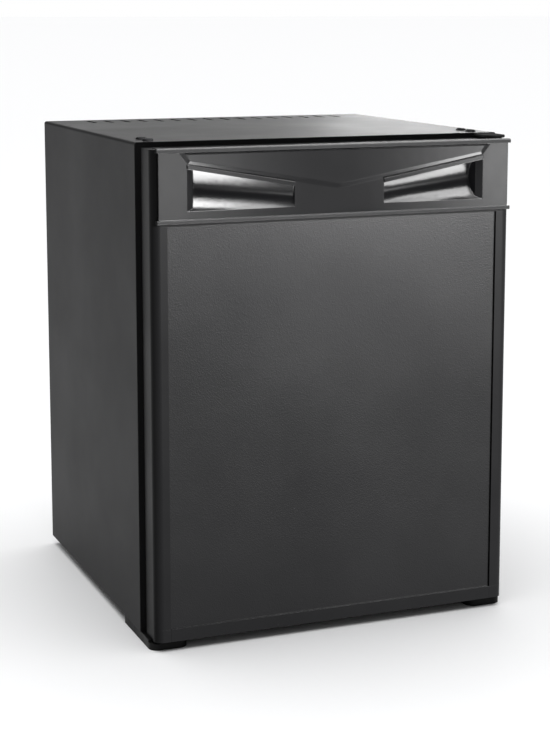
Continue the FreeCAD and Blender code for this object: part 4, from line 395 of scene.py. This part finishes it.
def copyPiece(piece, move):
    twin = piece.copy()
    twin.data = piece.data.copy()
    bpy.context.scene.collection.objects.link(twin)
    twin.data.transform(Matrix.Translation(move))
    return twin


# hinge screws: domed heads with a cross recess
screwSpec = {"name": "hingeScrews", "body": "cabinet", "slot": "hinge_paint", "node": "hinge_screws",
             "shank": 0.002, "head": 0.0055, "under": 0.002,
             "steps": ((0.0007, 0.98), (0.0007, 0.92), (0.0006, 0.72)), "soft": 0.00025,
             "recess": (0.0060, 0.0012, 0.0024), "taper": 0.6}


def carveSlot(piece, top, size):
    clearSelection()
    bpy.ops.mesh.primitive_cube_add(size=1.0, location=top)
    bpy.context.object.scale = size
    cutter = startPiece("recessCutter")
    pickFaces(cutter, lambda face: face.normal.z < -meshing["facing"])
    bpy.ops.transform.resize(value=(screwSpec["taper"], screwSpec["taper"], 1.0), center_override=top)
    clearSelection()
    piece.select_set(True)
    bpy.context.view_layer.objects.active = piece
    recess = piece.modifiers.new("recess", "BOOLEAN")
    recess.operation = "DIFFERENCE"
    recess.object = cutter
    bpy.ops.object.modifier_apply(modifier=recess.name)
    bpy.data.objects.remove(cutter)


screwLow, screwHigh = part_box("hinge_screws")
screwX = (screwLow.x + screwHigh.x) / 2
screwY = screwLow.y + screwSpec["head"]
seat = screwHigh.z - screwSpec["under"]
clearSelection()
bpy.ops.mesh.primitive_cylinder_add(vertices=40, radius=screwSpec["shank"], depth=seat - screwLow.z,
                                    location=(screwX, screwY, (seat + screwLow.z) / 2))
screw = startPiece("hingeScrew")
pickFaces(screw, lambda face: face.normal.z > meshing["facing"])
spread = screwSpec["head"] / screwSpec["shank"]
pushOut((0.0, 0.0, 0.0))
bpy.ops.transform.resize(value=(spread, spread, 1.0), center_override=(screwX, screwY, seat))
for rise, shrink in screwSpec["steps"]:
    pushOut((0.0, 0.0, rise))
    bpy.ops.transform.resize(value=(shrink, shrink, 1.0), center_override=(screwX, screwY, seat))
softenEdges(screw, screwSpec["soft"], 2)
recessLong, recessWide, recessDeep = screwSpec["recess"]
carveSlot(screw, (screwX, screwY, screwHigh.z), (recessLong, recessWide, recessDeep))
carveSlot(screw, (screwX, screwY, screwHigh.z), (recessWide, recessLong, recessDeep))
secondScrew = copyPiece(screw, Vector((0.0, screwHigh.y - screwSpec["head"] - screwY, 0.0)))
seatPiece(joinPieces([screw, secondScrew], screwSpec["name"]), screwSpec)
print("hinge screws built")

# boiler cover: rolled rims, and a folded seam with rivets above and below the strap
coverSpec = {"name": "boilerCover", "body": "cabinet", "slot": "galvanised", "node": "boiler_cover",
             "turn": 40.0, "seam": (0.008, 0.0010), "fold": 0.0018, "clear": 0.003, "rim": 0.0010,
             "rivet": (0.0016, 0.0016), "pitch": 0.023, "soft": 0.0002}
coverLow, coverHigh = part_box("boiler_cover")
strapLow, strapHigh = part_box("boiler_strap")
coverMiddle = (coverLow + coverHigh) / 2
coverRadius = (coverHigh.x - coverLow.x) / 2
seamTurn = math.radians(coverSpec["turn"])
outward = Vector((-math.sin(seamTurn), math.cos(seamTurn), 0.0))
coverParts = [copyNode("coverSheet", "boiler_cover")]
for level in (coverLow.z + coverSpec["rim"], coverHigh.z - coverSpec["rim"]):
    clearSelection()
    bpy.ops.mesh.primitive_torus_add(major_radius=coverRadius, minor_radius=coverSpec["rim"],
                                     major_segments=72, minor_segments=10,
                                     location=(coverMiddle.x, coverMiddle.y, level))
    rim = startPiece("coverRim")
    bpy.ops.object.shade_smooth()
    coverParts.append(rim)
seamWide, seamThick = coverSpec["seam"]
rivetRadius, rivetRise = coverSpec["rivet"]
for start, stop in ((coverLow.z, strapLow.z), (strapHigh.z, coverHigh.z)):
    start += coverSpec["clear"]
    stop -= coverSpec["clear"]
    foot = Vector((coverMiddle.x, coverMiddle.y, (start + stop) / 2)) + outward * coverRadius
    clearSelection()
    bpy.ops.mesh.primitive_cube_add(size=1.0, location=foot, rotation=(0.0, 0.0, seamTurn))
    bpy.context.object.scale = (seamWide, seamThick * 2, stop - start)
    seam = startPiece("coverSeam")
    pickFaces(seam, lambda face: face.normal.dot(outward) > meshing["facing"])
    bpy.ops.mesh.inset(thickness=coverSpec["fold"])
    pushOut(outward * seamThick * 0.5)
    softenEdges(seam, coverSpec["soft"], 2)
    coverParts.append(seam)
    count = round((stop - start) / coverSpec["pitch"])
    base = foot + outward * seamThick * 1.5
    base.z = start + (stop - start) / count / 2
    clearSelection()
    bpy.ops.mesh.primitive_cylinder_add(vertices=20, radius=rivetRadius, depth=rivetRise, location=base,
                                        rotation=(-math.pi / 2, 0.0, seamTurn))
    rivet = startPiece("coverRivet")
    pickFaces(rivet, lambda face: face.normal.dot(outward) > meshing["facing"])
    pushOut(outward * rivetRise * 0.3)
    bpy.ops.transform.resize(value=(0.6, 0.6, 0.6), center_override=base + outward * rivetRise * 0.8)
    softenEdges(rivet, coverSpec["soft"], 2)
    coverParts.append(rivet)
    for index in range(1, count):
        coverParts.append(copyPiece(rivet, Vector((0.0, 0.0, (stop - start) / count * index))))
seatPiece(joinPieces(coverParts, coverSpec["name"]), coverSpec)
print("boiler cover built")

# absorber vessel: uneven weld beads at the drum's ends, stubs and nozzle
vesselSpec = {"name": "absorberVessel", "body": "cabinet", "slot": "unit_paint", "node": "absorber_vessel",
              "dome": 0.009, "nozzle": 0.008, "pipe": 0.0072, "bead": 0.0015, "sink": 0.0004,
              "uneven": 0.00035, "seed": 11, "footBand": 0.0005}
vesselLow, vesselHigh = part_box("absorber_vessel")
drumY = (vesselLow.y + vesselHigh.y) / 2
drumRadius = (vesselHigh.y - vesselLow.y) / 2
drumZ = vesselLow.z + drumRadius
drumRight = vesselHigh.x - vesselSpec["nozzle"]


def footX(node):
    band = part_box(node)[0].z + vesselSpec["footBand"]
    across = [point.co.x for point in nodes[node].data.vertices if point.co.z < band]
    return (min(across) + max(across)) / 2


def weldBead(place, along, radius, seed):
    clearSelection()
    turn = (0.0, math.pi / 2, 0.0) if along == "x" else (0.0, 0.0, 0.0)
    bpy.ops.mesh.primitive_torus_add(major_radius=radius, minor_radius=vesselSpec["bead"],
                                     major_segments=64, minor_segments=8, location=place, rotation=turn)
    bead = startPiece("weldBead")
    bpy.ops.object.mode_set(mode="EDIT")
    bpy.ops.mesh.select_all(action="SELECT")
    bpy.ops.transform.vertex_random(offset=vesselSpec["uneven"], seed=seed)
    bpy.ops.object.mode_set(mode="OBJECT")
    bpy.ops.object.shade_smooth()
    return bead


beadRadius = drumRadius - vesselSpec["sink"]
welds = [((vesselLow.x + vesselSpec["dome"], drumY, drumZ), "x", beadRadius),
         ((drumRight - vesselSpec["dome"], drumY, drumZ), "x", beadRadius),
         ((drumRight, drumY, drumZ), "x", vesselSpec["pipe"])]
for node in ("absorber_coil", "gas_exchanger"):
    welds.append(((footX(node), drumY, drumZ + beadRadius), "z", vesselSpec["pipe"] + vesselSpec["sink"]))
    welds.append(((footX(node), drumY, vesselHigh.z), "z", vesselSpec["pipe"]))
vesselParts = [copyNode("vesselShell", "absorber_vessel")]
for index, (place, along, radius) in enumerate(welds):
    vesselParts.append(weldBead(place, along, radius, vesselSpec["seed"] + index))
seatPiece(joinPieces(vesselParts, vesselSpec["name"]), vesselSpec)
print("absorber vessel built")

# studio: white paper and backdrop in a dim room, an even sky light, soft boxes for the sheens
studio = {"floorSize": 400.0, "floorColor": (0.89, 0.893, 0.90), "floorRough": 0.40, "floorShine": 0.20,
          "roomLight": 0.30, "skyPower": 3.25, "skySpread": 70.0}
clearSelection()
bpy.ops.mesh.primitive_plane_add(size=studio["floorSize"], location=(0.0, 0.0, 0.0))
floor = startPiece("studioFloor")
floorLook = bpy.data.materials.new("studioPaper")
floorLook.use_nodes = True
paper = floorLook.node_tree.nodes["Principled BSDF"]
paper.inputs["Base Color"].default_value = (*studio["floorColor"], 1.0)
paper.inputs["Roughness"].default_value = studio["floorRough"]
paper.inputs["Specular IOR Level"].default_value = studio["floorShine"]
floor.data.materials.append(floorLook)

world = bpy.data.worlds.new("studioWorld")
bpy.context.scene.world = world
world.use_nodes = True
sky = world.node_tree
room = sky.nodes["Background"]
room.inputs["Strength"].default_value = studio["roomLight"]
backdrop = newNode(sky, "ShaderNodeBackground", (0, -200), Strength=1.0)
for wall in (room, backdrop):
    wall.inputs["Color"].default_value = (1.0, 1.0, 1.0, 1.0)
mixer = newNode(sky, "ShaderNodeMixShader", (200, 0))
join(sky, newNode(sky, "ShaderNodeLightPath", (-200, 200)).outputs["Is Camera Ray"], mixer.inputs["Fac"])
join(sky, room.outputs["Background"], mixer.inputs[1])
join(sky, backdrop.outputs["Background"], mixer.inputs[2])
join(sky, mixer.outputs["Shader"], sky.nodes["World Output"].inputs["Surface"])
bpy.context.scene.view_settings.view_transform = "Standard"

lamps = [
    {"name": "frontBox", "place": (1.6, -3.1, 1.15), "aim": (0.0, -0.2, 0.45),
     "size": (1.1, 0.8), "power": 660.0, "lights": "door"},
    {"name": "innerBox", "place": (0.7, -2.6, 1.3), "aim": (0.0, -0.1, 0.25),
     "size": (1.6, 1.2), "power": 34.0, "lights": "inner"},
    {"name": "unitBox", "place": (-0.8, 2.6, 1.3), "aim": (0.0, 0.2, 0.25),
     "size": (1.6, 1.2), "power": 20.0, "lights": "inner"},
    {"name": "rearBox", "place": (2.0, 2.7, 0.85), "aim": (0.1, 0.0, 0.5),
     "size": (1.4, 1.0), "power": 36.0, "lights": "coats"},
    {"name": "rearFill", "place": (0.6, 2.7, 0.75), "aim": (-0.1, 0.0, 0.5),
     "size": (1.3, 0.8), "power": 5.4, "lights": "coats"},
    {"name": "leftBox", "place": (-3.0, 0.4, 0.25), "aim": (-0.2, 0.0, 0.25),
     "size": (1.8, 0.45), "power": 48.0, "lights": "case"},
    {"name": "rightBox", "place": (3.0, 0.3, 0.25), "aim": (0.2, 0.0, 0.25),
     "size": (1.8, 0.45), "power": 48.0, "lights": "case"},
    {"name": "lowLeftBox", "place": (0.79, -3.2, 0.22), "aim": (-0.15, -0.2, 0.45),
     "size": (0.30, 0.5), "power": 11.0, "lights": "handle"},
    {"name": "lowRightBox", "place": (1.84, -3.1, 0.24), "aim": (0.15, -0.2, 0.45),
     "size": (0.36, 0.5), "power": 20.0, "lights": "handle"},
    {"name": "gripTop", "place": (0.55, -0.22, 1.75), "aim": (0.5, -0.20, 0.47),
     "size": (1.9, 1.1), "power": 150.0, "lights": "handle"},
    {"name": "gripTopLeft", "place": (0.12, -0.75, 1.75), "aim": (0.12, -0.73, 0.47),
     "size": (0.36, 1.9), "power": 270.0, "lights": "handle"},
    {"name": "gripTopRight", "place": (1.2, -0.75, 1.75), "aim": (1.2, -0.73, 0.47),
     "size": (0.6, 1.9), "power": 170.0, "lights": "handle"},
    {"name": "gripLeft", "place": (-0.11, -0.80, 0.02), "aim": (-0.11, -0.78, 0.5),
     "size": (0.17, 1.24), "power": 68.0, "lights": "handle"},
    {"name": "gripRight", "place": (0.70, -0.66, 0.02), "aim": (0.70, -0.64, 0.5),
     "size": (0.36, 0.90), "power": 56.0, "lights": "handle"},
]


def placeLight(name, kind, place, aim):
    data = bpy.data.lights.new(name, kind)
    light = bpy.data.objects.new(name, data)
    bpy.context.scene.collection.objects.link(light)
    light.location = place
    light.rotation_euler = (Vector(aim) - Vector(place)).to_track_quat("-Z", "Y").to_euler()
    return light


# each box lights one group of pieces, and none lights the paper
handle = nodes["handle_fascia"]
dressed = [item for item in bpy.context.scene.objects if item.type == "MESH" and item != floor]
doorSlots = ("door_skin", "frame_plastic", "plug_plastic")
doorLooks = [materials[slot] for slot in doorSlots]
doorCoats = [item for item in dressed if item.active_material in doorLooks]
caseCoats = [item for item in dressed if item.active_material == materials["case_paint"]]
feet = [item for item in dressed if item.active_material == materials["foot_plastic"]]
coats = doorCoats + caseCoats + feet + [handle]
lit = {"coats": coats, "door": doorCoats, "case": caseCoats, "handle": [handle],
       "inner": [item for item in dressed if item not in coats]}
groups = {}
for key, members in lit.items():
    groups[key] = bpy.data.collections.new(key + "Light")
    for member in members:
        groups[key].objects.link(member)
for lamp in lamps:
    box = placeLight(lamp["name"], "AREA", lamp["place"], lamp["aim"])
    box.data.shape = "RECTANGLE"
    box.data.size, box.data.size_y = lamp["size"]
    box.data.energy = lamp["power"]
    box.light_linking.receiver_collection = groups[lamp["lights"]]
    box.visible_camera = False
skyLight = placeLight("skyLight", "SUN", (0.0, 0.0, 3.0), (0.0, 0.0, 0.0))
skyLight.data.energy = studio["skyPower"]
skyLight.data.angle = math.radians(studio["skySpread"])

# camera, fitted to the photographed edges
shot = {"place": (-0.7017, -1.7982, 0.6394), "yaw": 21.800, "pitch": 8.524,
        "lens": 82.857, "shift": (-0.0090, -0.14)}
cameraData = bpy.data.cameras.new("photoView")
camera = bpy.data.objects.new("photoView", cameraData)
bpy.context.scene.collection.objects.link(camera)
cameraData.sensor_width = 36.0
cameraData.lens = shot["lens"]
cameraData.shift_x, cameraData.shift_y = shot["shift"]
cameraData.clip_start = 0.05
camera.location = shot["place"]
camera.rotation_euler = (math.radians(90.0 - shot["pitch"]), 0.0, math.radians(-shot["yaw"]))
bpy.context.scene.camera = camera
print("studio set")
